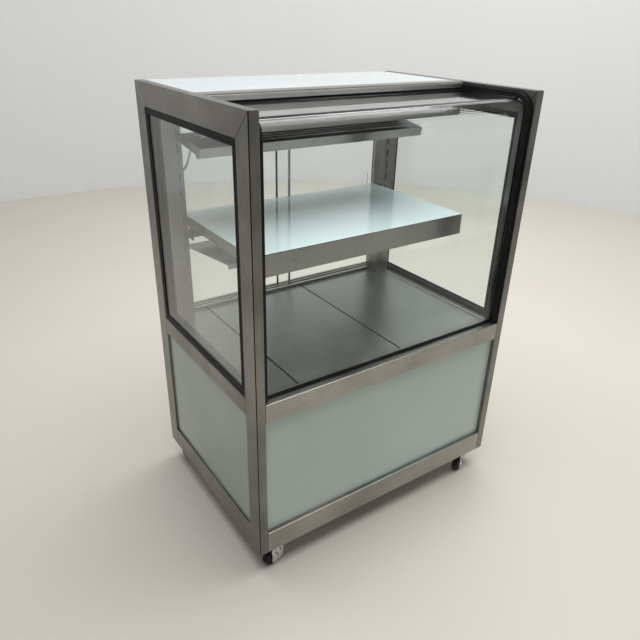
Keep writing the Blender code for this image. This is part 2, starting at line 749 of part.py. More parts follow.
# Deck: two wide lift-out plates and a narrow one, side by side over the tub
def deck():
    reach = INNER_X - DECK_SIDE_GAP
    front = FRONT_MID_RAIL_DEPTH - HALF_DEPTH + DECK_END_GAP
    rear = SILL_Y - DECK_END_GAP
    seams = [reach, reach - DECK_WIDE_PLATE, reach - 2 * DECK_WIDE_PLATE - DECK_SEAM]
    edges = [
        ("right", seams[1], seams[0]),
        ("middle", seams[2], seams[1] - DECK_SEAM),
        ("left", -reach, seams[2] - DECK_SEAM),
    ]
    for side, low, high in edges:
        block(
            f"{side}_deck_plate",
            (low, front, DECK_TOP - DECK_SHEET),
            (high, rear, DECK_TOP),
            "bright_sheet",
        )


# Shelf: a folded sheet tray, open below, with a deep front lip
def shelf():
    half = SHELF_WIDTH / 2
    rear = JAMB_Y - SHELF_REAR_GAP
    front = rear - SHELF_DEPTH
    lip = SHELF_TOP - SHELF_FRONT_LIP
    side_lip = SHELF_TOP - SHELF_SIDE_LIP
    tray = block("shelf", (-half, front, lip), (half, rear, SHELF_TOP), "bright_sheet")
    cavity = block(
        "shelf_cavity",
        (SHELF_SHEET - half, front + SHELF_SHEET, lip - SHELF_SHEET),
        (half - SHELF_SHEET, rear - SHELF_SHEET, SHELF_TOP - SHELF_SHEET),
        "bright_sheet",
    )
    boolean(tray, cavity, "DIFFERENCE")
    skirt = block(
        "shelf_skirt_cut",
        (-half - SHELF_SHEET, front + SHELF_SHEET, lip - SHELF_SHEET),
        (half + SHELF_SHEET, rear + SHELF_SHEET, side_lip),
        "bright_sheet",
    )
    boolean(tray, skirt, "DIFFERENCE")


# Shelf carrier: a bar between the pillars and two angle brackets that reach forward inside the shelf
def shelf_carrier():
    bar_front = PILLAR_REAR - SHELF_BAR_DEPTH
    half_bar = PILLAR_X - FIT_GAP
    block(
        "shelf_rear_bar",
        (-half_bar, bar_front, SHELF_BAR_UNDER),
        (half_bar, PILLAR_REAR, SHELF_BAR_TOP),
        "hairline_steel",
        EDGE_ROUND,
    )
    top_face = SHELF_TOP - SHELF_SHEET - FIT_GAP
    under = top_face - BRACKET_HEIGHT
    shelf_rear = JAMB_Y - SHELF_REAR_GAP
    front = shelf_rear - SHELF_DEPTH + BRACKET_FRONT_GAP
    lip_face = shelf_rear - SHELF_SHEET - FIT_GAP
    lip_under = SHELF_TOP - SHELF_SIDE_LIP - FIT_GAP
    leg_rear = bar_front - FIT_GAP
    leg_front = leg_rear - BRACKET_LEG
    outline = [
        (front, under),
        (leg_front, under),
        (leg_front, SHELF_BAR_UNDER),
        (leg_rear, SHELF_BAR_UNDER),
        (leg_rear, lip_under),
        (lip_face, lip_under),
        (lip_face, top_face),
        (front, top_face),
    ]
    outer = SHELF_WIDTH / 2 - BRACKET_INSET
    for side, sign in (("left", -1), ("right", 1)):
        low, high = span(sign, outer, outer - BRACKET_SHEET)
        name = f"{side}_shelf_bracket"
        bracket = slab(name, [outline], low, high, YZ_PLANE, "hairline_steel")
        low, high = span(sign, outer - BRACKET_SHEET / 2, outer - BRACKET_SEAT_WIDTH)
        seat = block(
            f"{side}_bracket_seat",
            (low, front, top_face - BRACKET_SHEET),
            (high, lip_face, top_face),
            "hairline_steel",
        )
        boolean(bracket, seat, "UNION")


def hood_frame(front, height, tilt):
    """Finds places on a tilted hood, given from its front top edge as back along its top and up from it."""
    cosine, sine = math.cos(tilt), math.sin(tilt)
    return lambda back, up: (front + back * cosine - up * sine, height + back * sine + up * cosine)


def lamp(name, width, depth, front_lip, rear_lip, inset, place):
    """A folded hood with a holder at each end, and the tube between the holders."""
    profile = [
        (0.0, 0.0),
        (0.0, -front_lip),
        (HOOD_SHEET, -front_lip),
        (HOOD_SHEET, -HOOD_SHEET),
        (depth - HOOD_SHEET, -HOOD_SHEET),
        (depth - HOOD_SHEET, -rear_lip),
        (depth, -rear_lip),
        (depth, 0.0),
    ]
    outline = [place(*point) for point in profile]
    hood = slab(f"{name}_hood", [outline], -width / 2, width / 2, YZ_PLANE, "bright_sheet")
    sheet_middle = -HOOD_SHEET / 2
    holder = arc((LAMP_SETBACK, -LAMP_DROP), HOLDER_RADIUS, 180, 360, HALF_ROUND_STEPS)
    holder += [
        (LAMP_SETBACK + HOLDER_RADIUS, sheet_middle),
        (LAMP_SETBACK - HOLDER_RADIUS, sheet_middle),
    ]
    outline = [place(*point) for point in holder]
    outer = width / 2 - inset
    for side, sign in (("left", -1), ("right", 1)):
        low, high = span(sign, outer, outer - HOLDER_THICKNESS)
        holder = slab(f"{name}_{side}_holder", [outline], low, high, YZ_PLANE, "lamp_white")
        boolean(hood, holder, "UNION")
    reach = outer - HOLDER_THICKNESS - FIT_GAP
    cap = reach - LAMP_CAP_LENGTH
    tube = [
        (0.0, reach),
        (LAMP_CAP_RADIUS, reach),
        (LAMP_CAP_RADIUS, cap),
        (LAMP_RADIUS, cap),
        (LAMP_RADIUS, -cap),
        (LAMP_CAP_RADIUS, -cap),
        (LAMP_CAP_RADIUS, -reach),
        (0.0, -reach),
    ]
    middle = Matrix.Translation((0.0, *place(LAMP_SETBACK, -LAMP_DROP)))
    along = middle @ Euler((0.0, math.pi / 2, 0.0)).to_matrix().to_4x4()
    turned(f"{name}_tube", tube, ROUND_STEPS, "lamp_white", along)
    return hood


# Top lamp: its hood hangs in front of the pillars by an ear at each end
def top_lamp():
    front = TOP_HOOD_SETBACK - HALF_DEPTH
    place = hood_frame(front, ROOF_Z - TOP_HOOD_DROP, TOP_HOOD_TILT)
    width = 2 * EAR_X + EAR_SHEET
    lips = TOP_HOOD_FRONT_LIP, TOP_HOOD_REAR_LIP
    hood = lamp("lamp", width, TOP_HOOD_DEPTH, *lips, HOLDER_INSET, place)
    rear = PILLAR_Y - FIT_GAP
    first, start = place(HOOD_SHEET / 2, -HOOD_SHEET / 2)
    end = start + (rear - first) * math.tan(TOP_HOOD_TILT)
    outline = [
        place(HOOD_SHEET / 2, -EAR_HEIGHT),
        (rear, end - EAR_HEIGHT),
        (rear, end),
        (first, start),
    ]
    for side, sign in (("left", -1), ("right", 1)):
        low, high = span(sign, EAR_X, EAR_X + EAR_SHEET)
        ear = slab(f"{side}_hood_ear", [outline], low, high, YZ_PLANE, "bright_sheet")
        boolean(hood, ear, "UNION")
    lamp_lead(place, HOLDER_INSET + HOLDER_THICKNESS / 2 - width / 2)


# Lamp lead: a pale sheathed lead, held by the left lamp holder and the left pillar's inner side
def lamp_lead(place, across):
    behind = LAMP_SETBACK + HOLDER_RADIUS + FIT_GAP
    start, stub, leave = [
        Vector((across, *place(behind + further, -LAMP_DROP)))
        for further in (0.0, LEAD_STUB, LEAD_STUB + LEAD_START_HANDLE)
    ]
    end = Vector((FIT_GAP - PILLAR_X, HALF_DEPTH - LEAD_END_SETBACK, ROOF_Z - LEAD_END_DROP))
    entry, arrive = [
        end + Vector((further, 0.0, 0.0)) for further in (LEAD_STUB, LEAD_STUB + LEAD_END_HANDLE)
    ]
    route = [start, *interpolate_bezier(stub, leave, arrive, entry, LEAD_POINTS), end]
    line = bpy.data.curves.new("lamp_lead", "CURVE")
    line.dimensions = "3D"
    line.bevel_depth = LEAD_RADIUS
    line.bevel_resolution = LEAD_ROUND_STEPS
    line.use_fill_caps = True
    spline = line.splines.new("POLY")
    spline.points.add(len(route) - 1)
    for point, where in zip(spline.points, route):
        point.co = (*where, 1.0)
    put("lamp_lead", line, "lamp_white")


# Shelf lamp: its wide hood hangs from the shelf's rear bar by two tabs
def shelf_lamp():
    rear = JAMB_Y - SHELF_HOOD_REAR_GAP
    front = rear - SHELF_HOOD_DEPTH * math.cos(SHELF_HOOD_TILT)
    place = hood_frame(front, SHELF_TOP - SHELF_HOOD_DROP, SHELF_HOOD_TILT)
    size = SHELF_HOOD_WIDTH, SHELF_HOOD_DEPTH, SHELF_HOOD_LIP, SHELF_HOOD_LIP
    hood = lamp("shelf_lamp", *size, SHELF_HOLDER_INSET, place)
    tab_rear, rim = place(SHELF_HOOD_DEPTH - HOOD_SHEET / 2, -SHELF_HOOD_LIP / 2)
    for side, sign in (("left", -1), ("right", 1)):
        middle = sign * HOOD_TAB_SPACING / 2
        low, high = middle - HOOD_TAB_WIDTH / 2, middle + HOOD_TAB_WIDTH / 2
        tab = block(
            f"{side}_hood_tab",
            (low, tab_rear - HOOD_SHEET, rim),
            (high, tab_rear, SHELF_BAR_UNDER - FIT_GAP),
            "bright_sheet",
        )
        boolean(hood, tab, "UNION")


# Casters: a pressed fork that swivels under the base, and a wheel on the fork's axle
def caster(place, across, back, heading):
    x = across * (HALF_WIDTH - CASTER_SIDE_INSET)
    y = back * (HALF_DEPTH - CASTER_END_INSET)
    swivel = bpy.data.objects.new(f"{place}_swivel", None)
    case.objects.link(swivel)
    swivel.matrix_local = Matrix.Translation((x, y, 0.0)) @ Matrix.Rotation(heading, 4, "Z")
    head_top = CASTER_HEIGHT - FIT_GAP
    head_under = head_top - CASTER_HEAD_HEIGHT
    centre = (0.0, 0.0, (head_top + head_under) / 2)
    name = f"{place}_caster_fork"
    fork = drum(name, CASTER_HEAD_RADIUS, CASTER_HEAD_HEIGHT, centre, "Z", "zinc_plate", swivel)
    inside = WHEEL_WIDTH / 2 + WHEEL_SPIN_GAP
    outside = inside + FORK_SHEET
    overlap = CASTER_HEAD_HEIGHT / 2
    cheek = [
        (-CHEEK_BACK, CHEEK_FOOT + CHEEK_CORNER),
        (CHEEK_CORNER - CHEEK_BACK, CHEEK_FOOT),
        (CHEEK_FRONT - CHEEK_CORNER, CHEEK_FOOT),
        (CHEEK_FRONT, CHEEK_FOOT + CHEEK_CORNER),
        (FORK_TOP_HALF, head_under + overlap),
        (-FORK_TOP_HALF, head_under + overlap),
        (-CHEEK_BACK, CHEEK_SHOULDER),
    ]
    for side, sign in (("near", -1), ("far", 1)):
        low, high = span(sign, outside, inside)
        part = slab(f"{name}_{side}_cheek", [cheek], low, high, XZ_PLANE, "zinc_plate", 0.0, swivel)
        boolean(fork, part, "UNION")
    bridge = block(
        f"{name}_bridge",
        (-BRIDGE_HALF, -inside - FORK_SHEET / 2, head_under - FORK_SHEET),
        (BRIDGE_HALF, inside + FORK_SHEET / 2, head_under + overlap / 2),
        "zinc_plate",
        0.0,
        swivel,
    )
    boolean(fork, bridge, "UNION")
    hub = (-CASTER_TRAIL, 0.0, WHEEL_RADIUS)
    axle_length = 2 * (outside + AXLE_HEAD)
    axle = drum(f"{name}_axle", AXLE_RADIUS, axle_length, hub, "Y", "zinc_plate", swivel, PIN_STEPS)
    boolean(fork, axle, "UNION")
    half = WHEEL_WIDTH / 2
    bore = AXLE_RADIUS + AXLE_CLEARANCE
    tread = arc((WHEEL_RADIUS - WHEEL_ROUND, half - WHEEL_ROUND), WHEEL_ROUND, 90, 0, WHEEL_ROUND_STEPS)
    tread += arc((WHEEL_RADIUS - WHEEL_ROUND, WHEEL_ROUND - half), WHEEL_ROUND, 0, -90, WHEEL_ROUND_STEPS)
    tread += [(bore, -half), (bore, half)]
    matrix = Matrix.Translation(hub) @ Euler((math.pi / 2, 0.0, 0.0)).to_matrix().to_4x4()
    turned(f"{place}_caster_wheel", tread, WHEEL_STEPS, "caster_tread", matrix, swivel)


# Coils: a block of fins standing on a foot
def coil(name, size, place, floor, fins):
    width, depth, height = size
    low = place[0] - width / 2
    pitch = (width - FIN_THICKNESS) / (fins - 1)
    comb = [(low, floor), (low + width, floor)]
    for number in range(fins - 1, -1, -1):
        left = low + number * pitch
        right = left + FIN_THICKNESS
        fin = [(right, floor + height), (left, floor + height)]
        if number < fins - 1:
            fin.insert(0, (right, floor + FIN_FOOT))
        if number > 0:
            fin.append((left, floor + FIN_FOOT))
        comb += fin
    near, rear = place[1] - depth / 2, place[1] + depth / 2
    return slab(name, [comb], -rear, -near, XZ_PLANE, "fin_aluminium")


# Condenser: a coil at the rear louvres, with a strap that carries the fan motor in front of it
def condenser():
    across = CONDENSER_SIDE_INSET - INNER_X
    back = HALF_DEPTH - CONDENSER_SETBACK
    fins = coil("condenser_coil", CONDENSER_SIZE, (across, back), UNIT_FLOOR, CONDENSER_FINS)
    near = back - CONDENSER_SIZE[1] / 2
    middle = UNIT_FLOOR + CONDENSER_SIZE[2] / 2
    hub_front = near - FAN_GAP - FAN_HUB_LENGTH
    motor_rear = hub_front - FIT_GAP
    motor_front = motor_rear - MOTOR_LENGTH
    reach = FAN_RADIUS + FAN_GAP
    foot = near + STRAP_SHEET
    strap = [
        (across - reach - STRAP_SHEET, foot),
        (across - reach - STRAP_SHEET, motor_front),
        (across + reach + STRAP_SHEET, motor_front),
        (across + reach + STRAP_SHEET, foot),
        (across + reach, foot),
        (across + reach, motor_front + STRAP_SHEET),
        (across - reach, motor_front + STRAP_SHEET),
        (across - reach, foot),
    ]
    low, high = middle - STRAP_HEIGHT / 2, middle + STRAP_HEIGHT / 2
    bent = slab("motor_strap", [strap], low, high, Matrix.Identity(4), "fin_aluminium")
    boolean(fins, bent, "UNION")
    motor_middle = (across, (motor_front + motor_rear) / 2, middle)
    motor = drum("fan_motor", MOTOR_RADIUS, MOTOR_LENGTH, motor_middle, "Y", "fin_aluminium")
    boolean(fins, motor, "UNION")
    fan("condenser_fan", (across, hub_front + FAN_HUB_LENGTH / 2, middle))


# Fan: a hub with pitched blades, turning about Y
def fan(name, place):
    axis = bpy.data.objects.new(f"{name}_axis", None)
    case.objects.link(axis)
    axis.matrix_local = Matrix.Translation(place)
    centre = (0.0, 0.0, 0.0)
    hub = drum(name, FAN_HUB_RADIUS, FAN_HUB_LENGTH, centre, "Y", "black_enamel", axis)
    for number in range(FAN_BLADES):
        shape = bmesh.new()
        bmesh.ops.create_cube(shape, size=1.0)
        size = (FAN_BLADE_CHORD, FAN_BLADE_SHEET, FAN_RADIUS - FAN_BLADE_ROOT)
        bmesh.ops.scale(shape, vec=size, verts=shape.verts)
        pitch = Matrix.Rotation(FAN_BLADE_PITCH, 4, "Z")
        out = Matrix.Translation((0.0, 0.0, (FAN_RADIUS + FAN_BLADE_ROOT) / 2))
        turn = Matrix.Rotation(2 * math.pi * number / FAN_BLADES, 4, "Y")
        mesh = fresh_mesh(f"{name}_blade_{number}", shape)
        blade = put(mesh.name, mesh, "black_enamel", turn @ out @ pitch, 0.0, axis)
        boolean(hub, blade, "UNION")


# Evaporator: a plain coil on the tub floor, cooling by still air
def evaporator():
    place = (0.0, HALF_DEPTH - EVAPORATOR_SETBACK)
    floor = TUB_Z + TUB_FLOOR + FIT_GAP
    coil("evaporator_coil", EVAPORATOR_SIZE, place, floor, EVAPORATOR_FINS)


# Compressor: a welded steel can with a domed crown on a square foot
def compressor():
    shoulder = COMPRESSOR_HEIGHT - COMPRESSOR_CROWN
    foot_middle = COMPRESSOR_FOOT_SHEET / 2
    profile = []
    for step in range(CROWN_STEPS + 1):
        turn = math.pi / 2 * step / CROWN_STEPS
        radius = COMPRESSOR_RADIUS * math.sin(turn)
        profile.append((radius, shoulder + COMPRESSOR_CROWN * math.cos(turn)))
    profile += [(COMPRESSOR_RADIUS, foot_middle), (0.0, foot_middle)]
    x, y = INNER_X - COMPRESSOR_SIDE_INSET, HALF_DEPTH - COMPRESSOR_SETBACK
    half = COMPRESSOR_FOOT / 2
    foot = block(
        "compressor",
        (x - half, y - half, UNIT_FLOOR),
        (x + half, y + half, UNIT_FLOOR + COMPRESSOR_FOOT_SHEET),
        "black_enamel",
    )
    stand = Matrix.Translation((x, y, UNIT_FLOOR))
    can = turned("compressor_can", profile, ROUND_STEPS, "black_enamel", stand)
    boolean(foot, can, "UNION")


for side, sign in (("left", -1), ("right", 1)):
    side_frame(side, sign)
    side_glass(side, sign)
    side_panel(side, sign)
front_base()
front_glass()
top()
rear_frame()
inner_track, outer_track = tracks()
door("left", -1, inner_track, LEFT_STILE_WIDTH)
door("right", 1, outer_track, RIGHT_STILE_WIDTH)
base()
cooling_tub()
deck()
shelf()
shelf_carrier()
top_lamp()
shelf_lamp()
for place, (across, back, heading) in CASTER_PLACES.items():
    caster(place, across, back, heading)
condenser()
evaporator()
compressor()
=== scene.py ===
import json
import math

import bmesh
import bpy
from mathutils import Matrix, Vector


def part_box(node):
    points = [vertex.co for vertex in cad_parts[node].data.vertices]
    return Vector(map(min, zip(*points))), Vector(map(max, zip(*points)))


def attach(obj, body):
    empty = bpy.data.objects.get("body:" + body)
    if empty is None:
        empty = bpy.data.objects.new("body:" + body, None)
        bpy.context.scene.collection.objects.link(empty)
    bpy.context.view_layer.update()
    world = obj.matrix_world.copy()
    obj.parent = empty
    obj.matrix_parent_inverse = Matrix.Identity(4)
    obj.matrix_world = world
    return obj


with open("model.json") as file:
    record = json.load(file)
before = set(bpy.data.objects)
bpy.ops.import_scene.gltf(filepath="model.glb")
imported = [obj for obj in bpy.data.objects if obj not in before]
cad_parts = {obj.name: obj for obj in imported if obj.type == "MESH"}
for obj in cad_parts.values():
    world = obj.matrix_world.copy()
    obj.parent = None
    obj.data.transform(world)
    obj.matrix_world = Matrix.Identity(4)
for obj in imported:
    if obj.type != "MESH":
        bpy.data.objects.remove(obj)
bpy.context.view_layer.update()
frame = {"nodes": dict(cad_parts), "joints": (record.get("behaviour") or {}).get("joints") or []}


# Side frames: two posts, a mitred top rail, a mid rail and a bottom rail on each side, folded
# from stainless sheet and joined at the corners. The hairline finish runs along each member,
# and a thin dark line of painted shade runs down the outer corner of the front posts.
STEEL_DARK = (0.105, 0.102, 0.092)
STEEL_LIGHT = (0.365, 0.355, 0.325)
STEEL_ROUGHNESS = (0.26, 0.44)
CORNER_SHADE_COLOUR = (0.02, 0.019, 0.017)
CORNER_SHADE_WIDTH = 0.0016
LINE_SCALE_ALONG = 6.0
BAND_SCALE_ALONG = 1.6
LINE_SHARE = 0.48
SMUDGE_SHARE = 0.52
BRUSH_BUMP = 0.12
BRUSH_BUMP_DEPTH = 0.0002
# A Mix node has sockets of the same name for each kind of value, so its colours go by number.
MIX_COLOUR_FIRST = 6
MIX_COLOUR_SECOND = 7
MIX_COLOUR_RESULT = 2


def add_node(tree, kind, **settings):
    node = tree.nodes.new(kind)
    for key, value in settings.items():
        setattr(node, key, value)
    return node


def fill_inputs(tree, node, values):
    """Links an input to another node's output, or sets a plain value on it."""
    for name, value in values.items():
        socket = node.inputs[name]
        if isinstance(value, bpy.types.NodeSocket):
            tree.links.new(value, socket)
        elif socket.type == "RGBA":
            socket.default_value = (*value, 1.0)
        else:
            socket.default_value = value


def object_place(tree):
    return add_node(tree, "ShaderNodeTexCoord").outputs["Object"]


def split_place(tree):
    """The X, Y and Z of each point of a surface."""
    split = add_node(tree, "ShaderNodeSeparateXYZ")
    fill_inputs(tree, split, {"Vector": object_place(tree)})
    return split.outputs


def noise(tree, vector, scale, detail, roughness):
    node = add_node(tree, "ShaderNodeTexNoise")
    values = {"Vector": vector, "Scale": scale, "Detail": detail, "Roughness": roughness}
    fill_inputs(tree, node, values)
    return node.outputs["Fac"]


def remap(tree, value, low, high, to_low=0.0, to_high=1.0):
    node = add_node(tree, "ShaderNodeMapRange")
    values = {"Value": value, "From Min": low, "From Max": high, "To Min": to_low, "To Max": to_high}
    fill_inputs(tree, node, values)
    return node.outputs["Result"]


def calculate(tree, operation, first, second=0.0):
    node = add_node(tree, "ShaderNodeMath", operation=operation)
    fill_inputs(tree, node, {0: first, 1: second})
    return node.outputs["Value"]


def mix_colour(tree, mask, first, second):
    """The first colour where the mask is 0, and the second where it is 1."""
    node = add_node(tree, "ShaderNodeMix", data_type="RGBA")
    values = {"Factor": mask, MIX_COLOUR_FIRST: first, MIX_COLOUR_SECOND: second}
    fill_inputs(tree, node, values)
    return node.outputs[MIX_COLOUR_RESULT]


def new_group(name, inputs, outputs):
    """A shader node group whose sockets are given by name and kind."""
    group = bpy.data.node_groups.new(name, "ShaderNodeTree")
    for way, sockets in (("INPUT", inputs), ("OUTPUT", outputs)):
        for socket, kind in sockets.items():
            group.interface.new_socket(name=socket, in_out=way, socket_type=f"NodeSocket{kind}")
    return group, add_node(group, "NodeGroupInput"), add_node(group, "NodeGroupOutput")


def make_hairline_group():
    """Brushed lines drawn out along one axis, with slow smudges from hands and cloths over them."""
    group, given, made = new_group(
        "hairline_brush",
        {
            "Fine": "Vector",
            "Coarse": "Vector",
            "Dark": "Color",
            "Light": "Color",
            "Low Roughness": "Float",
            "High Roughness": "Float",
        },
        {"Colour": "Color", "Roughness": "Float", "Height": "Float"},
    )
    place = object_place(group)
    grains = []
    for name, detail in (("Fine", 2.0), ("Coarse", 3.0)):
        stretch = add_node(group, "ShaderNodeVectorMath", operation="MULTIPLY")
        fill_inputs(group, stretch, {0: place, 1: given.outputs[name]})
        grains.append(noise(group, stretch.outputs["Vector"], scale=1.0, detail=detail, roughness=0.6))
    lines = calculate(group, "ADD", *grains)
    smudges = noise(group, place, scale=7.0, detail=4.0, roughness=0.55)
    brushed = calculate(group, "MULTIPLY", remap(group, lines, low=0.35, high=1.65), LINE_SHARE)
    smudged = calculate(group, "MULTIPLY", remap(group, smudges, low=0.34, high=0.66), SMUDGE_SHARE)
    tone = calculate(group, "ADD", brushed, smudged)
    smooth = given.outputs["Low Roughness"]
    span = calculate(group, "SUBTRACT", given.outputs["High Roughness"], smooth)
    finish = {
        "Colour": mix_colour(group, tone, given.outputs["Dark"], given.outputs["Light"]),
        "Roughness": calculate(group, "ADD", smooth, calculate(group, "MULTIPLY", span, tone)),
        "Height": lines,
    }
    fill_inputs(group, made, finish)
    return group


hairline_brush = make_hairline_group()


def new_material(name):
    material = bpy.data.materials.new(name)
    material.use_nodes = True
    return material, material.node_tree, material.node_tree.nodes["Principled BSDF"]


def bump_into(tree, shader, height, strength, depth):
    bump = add_node(tree, "ShaderNodeBump")
    fill_inputs(tree, bump, {"Strength": strength, "Distance": depth, "Height": height})
    fill_inputs(tree, shader, {"Normal": bump.outputs["Normal"]})


def brushed_metal(name, along, dark, light, roughness, fine=900.0, coarse=170.0):
    """A metal with hairlines along X, Y or Z. Fine and coarse are how close they lie."""
    material, tree, shader = new_material(name)
    axis = "XYZ".index(along)
    lines = [fine, fine, fine]
    lines[axis] = LINE_SCALE_ALONG
    bands = [coarse, coarse, coarse]
    bands[axis] = BAND_SCALE_ALONG
    brush = add_node(tree, "ShaderNodeGroup", node_tree=hairline_brush)
    values = {
        "Fine": lines,
        "Coarse": bands,
        "Dark": dark,
        "Light": light,
        "Low Roughness": roughness[0],
        "High Roughness": roughness[1],
    }
    fill_inputs(tree, brush, values)
    finish = {
        "Base Color": brush.outputs["Colour"],
        "Roughness": brush.outputs["Roughness"],
        "Metallic": 1.0,
    }
    fill_inputs(tree, shader, finish)
    bump_into(tree, shader, brush.outputs["Height"], BRUSH_BUMP, BRUSH_BUMP_DEPTH)
    return material


def paint_over(material, mask, colour):
    """Lays a second colour over a finished surface where the mask is 1."""
    tree = material.node_tree
    shader = tree.nodes["Principled BSDF"]
    under = shader.inputs["Base Color"].links[0].from_socket
    fill_inputs(tree, shader, {"Base Color": mix_colour(tree, mask, under, colour)})


def finish_nodes(material, *names):
    """Gives CAD nodes a finished material in place of their plain one."""
    for name in names:
        mesh = frame["nodes"][name].data
        mesh.materials.clear()
        mesh.materials.append(material)


steel_depthwise = brushed_metal("hairline_depthwise", "Y", STEEL_DARK, STEEL_LIGHT, STEEL_ROUGHNESS)
steel_post = brushed_metal("hairline_post", "Z", STEEL_DARK, STEEL_LIGHT, STEEL_ROUGHNESS)
post_tree = steel_post.node_tree
# Painted shade: a thin dark line down the outer corner of each front post.
post_place = split_place(post_tree)
post_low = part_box("left_front_post")[0]
post_aside = calculate(post_tree, "ABSOLUTE", post_place["X"])
at_side = calculate(post_tree, "GREATER_THAN", post_aside, -post_low.x - CORNER_SHADE_WIDTH)
at_front = calculate(post_tree, "LESS_THAN", post_place["Y"], post_low.y + CORNER_SHADE_WIDTH)
paint_over(steel_post, calculate(post_tree, "MULTIPLY", at_side, at_front), CORNER_SHADE_COLOUR)
for side in ("left", "right"):
    finish_nodes(steel_post, f"{side}_front_post", f"{side}_rear_post")
    finish_nodes(steel_depthwise, f"{side}_top_rail", f"{side}_mid_rail", f"{side}_bottom_rail")


# Front rails: two stainless rails between the front posts, one above and one below the front
# panel. Each is folded from sheet, brushed along its length and fixed to both posts. Their steel
# is a lighter copy of the posts' steel, painted light as the front catches more of it.
# Painted light: the same stainless as the posts, painted lighter.
steel_crosswise_lit = brushed_metal(
    "hairline_crosswise_lit",
    "X",
    dark=(0.24, 0.233, 0.212),
    light=(0.47, 0.46, 0.43),
    roughness=STEEL_ROUGHNESS,
)
finish_nodes(steel_crosswise_lit, "front_mid_rail", "front_bottom_rail")


# Rear frame: two jambs, each with a slotted shelf pillar on it, and a header and a sill between
# them. All are folded from stainless sheet, and the header and sill are grooved for the doors.
steel_upright = brushed_metal("hairline_upright", "Z", STEEL_DARK, STEEL_LIGHT, STEEL_ROUGHNESS)
finish_nodes(steel_upright, "left_jamb", "right_jamb")
finish_nodes(steel_crosswise_lit, "rear_header", "rear_sill")


# Base plate: the zinc plated floor of the case, one sheet between the bottom rails. The casters
# are fixed under it and the cooling unit stands on it.
SPANGLE_SCALE = 160.0
SPANGLE_SHARE = 0.4
PATCH_SHARE = 0.8


def make_mottle_group():
    """Noise between two limits: slow patches in a coat, or the fine grain of a moulded skin."""
    group, given, made = new_group(
        "surface_mottle",
        {"Scale": "Float", "Detail": "Float", "Roughness": "Float", "Low": "Float", "High": "Float"},
        {"Mask": "Float", "Height": "Float"},
    )
    scale, detail, roughness, low, high = (
        given.outputs[name] for name in ("Scale", "Detail", "Roughness", "Low", "High")
    )
    height = noise(group, object_place(group), scale, detail, roughness)
    fill_inputs(group, made, {"Mask": remap(group, height, low, high), "Height": height})
    return group


surface_mottle = make_mottle_group()


def add_mottle(tree, scale, detail=3.0, roughness=0.5, low=0.3, high=0.7):
    mottle = add_node(tree, "ShaderNodeGroup", node_tree=surface_mottle)
    values = {"Scale": scale, "Detail": detail, "Roughness": roughness, "Low": low, "High": high}
    fill_inputs(tree, mottle, values)
    return mottle.outputs


def between(tree, mask, limits):
    """A value that goes from the first limit to the second as the mask goes from 0 to 1."""
    return remap(tree, mask, 0.0, 1.0, *limits)


def plated_metal(name, dark, light, roughness):
    """A plated sheet: the spangle of the plating under slow patches."""
    material, tree, shader = new_material(name)
    patches = add_mottle(tree, scale=30.0, detail=4.0, roughness=0.6)["Mask"]
    flake = add_node(tree, "ShaderNodeTexVoronoi")
    fill_inputs(tree, flake, {"Vector": object_place(tree), "Scale": SPANGLE_SCALE})
    spangle = calculate(tree, "MULTIPLY", flake.outputs["Distance"], SPANGLE_SHARE)
    tone = calculate(tree, "ADD", spangle, calculate(tree, "MULTIPLY", patches, PATCH_SHARE))
    finish = {
        "Base Color": mix_colour(tree, tone, dark, light),
        "Roughness": between(tree, patches, roughness),
        "Metallic": 1.0,
    }
    fill_inputs(tree, shader, finish)
    return material


floor_plate = plated_metal(
    "zinc_plate", dark=(0.48, 0.49, 0.50), light=(0.66, 0.67, 0.69), roughness=(0.28, 0.42)
)
finish_nodes(floor_plate, "base_plate")


# Casters: four swivel casters under the base plate. Each has a pressed and bright plated fork
# that turns on its head, and a black rubber wheel on an axle between the cheeks.
CASTERS = ("front_left", "front_right", "rear_left", "rear_right")
RUBBER_SHEEN = 0.16
RUBBER_BUMP = 0.15
RUBBER_BUMP_DEPTH = 0.0003


def black_rubber(name, dark, light, roughness, grain_scale):
    material, tree, shader = new_material(name)
    patches = add_mottle(tree, scale=14.0)["Mask"]
    grain = add_mottle(tree, scale=grain_scale, roughness=0.6, low=0.2, high=0.8)
    finish = {
        "Base Color": mix_colour(tree, patches, dark, light),
        "Roughness": between(tree, grain["Mask"], roughness),
        "Specular IOR Level": RUBBER_SHEEN,
    }
    fill_inputs(tree, shader, finish)
    bump_into(tree, shader, grain["Height"], RUBBER_BUMP, RUBBER_BUMP_DEPTH)
    return material


fork_plate = plated_metal(
    "bright_fork", dark=(0.58, 0.58, 0.59), light=(0.82, 0.82, 0.83), roughness=(0.10, 0.22)
)
tread_rubber = black_rubber(
    "caster_tread",
    dark=(0.010, 0.010, 0.011),
    light=(0.03, 0.03, 0.032),
    roughness=(0.45, 0.68),
    grain_scale=700.0,
)
for corner in CASTERS:
    finish_nodes(fork_plate, f"{corner}_caster_fork")
    finish_nodes(tread_rubber, f"{corner}_caster_wheel")


# Caster rivets: three small black heads on each cheek of a fork, closed over the plate with a
# dished middle. Their black is painted shade that stands for the dark holes in the cheeks. They turn
# with the fork.
RIVET_RADIUS = 0.0021
RIVET_RISE = 0.0006
RIVET_DISH = 0.00025
RIVET_PLACES = ((-0.0110, 0.0320), (-0.0055, 0.0235), (0.0040, 0.0330))
CHEEK_FACE = 0.0115
MOULDING_BUMP = 0.05
MOULDING_BUMP_DEPTH = 0.0002
SQUARE_ON = 0.99


def moulded_plastic(name, pale, deep, roughness):
    material, tree, shader = new_material(name)
    patches = add_mottle(tree, scale=20.0)["Mask"]
    grain = add_mottle(tree, scale=1400.0, detail=2.0, low=0.25, high=0.75)
    finish = {
        "Base Color": mix_colour(tree, patches, deep, pale),
        "Roughness": between(tree, grain["Mask"], roughness),
    }
    fill_inputs(tree, shader, finish)
    bump_into(tree, shader, grain["Height"], MOULDING_BUMP, MOULDING_BUMP_DEPTH)
    return material


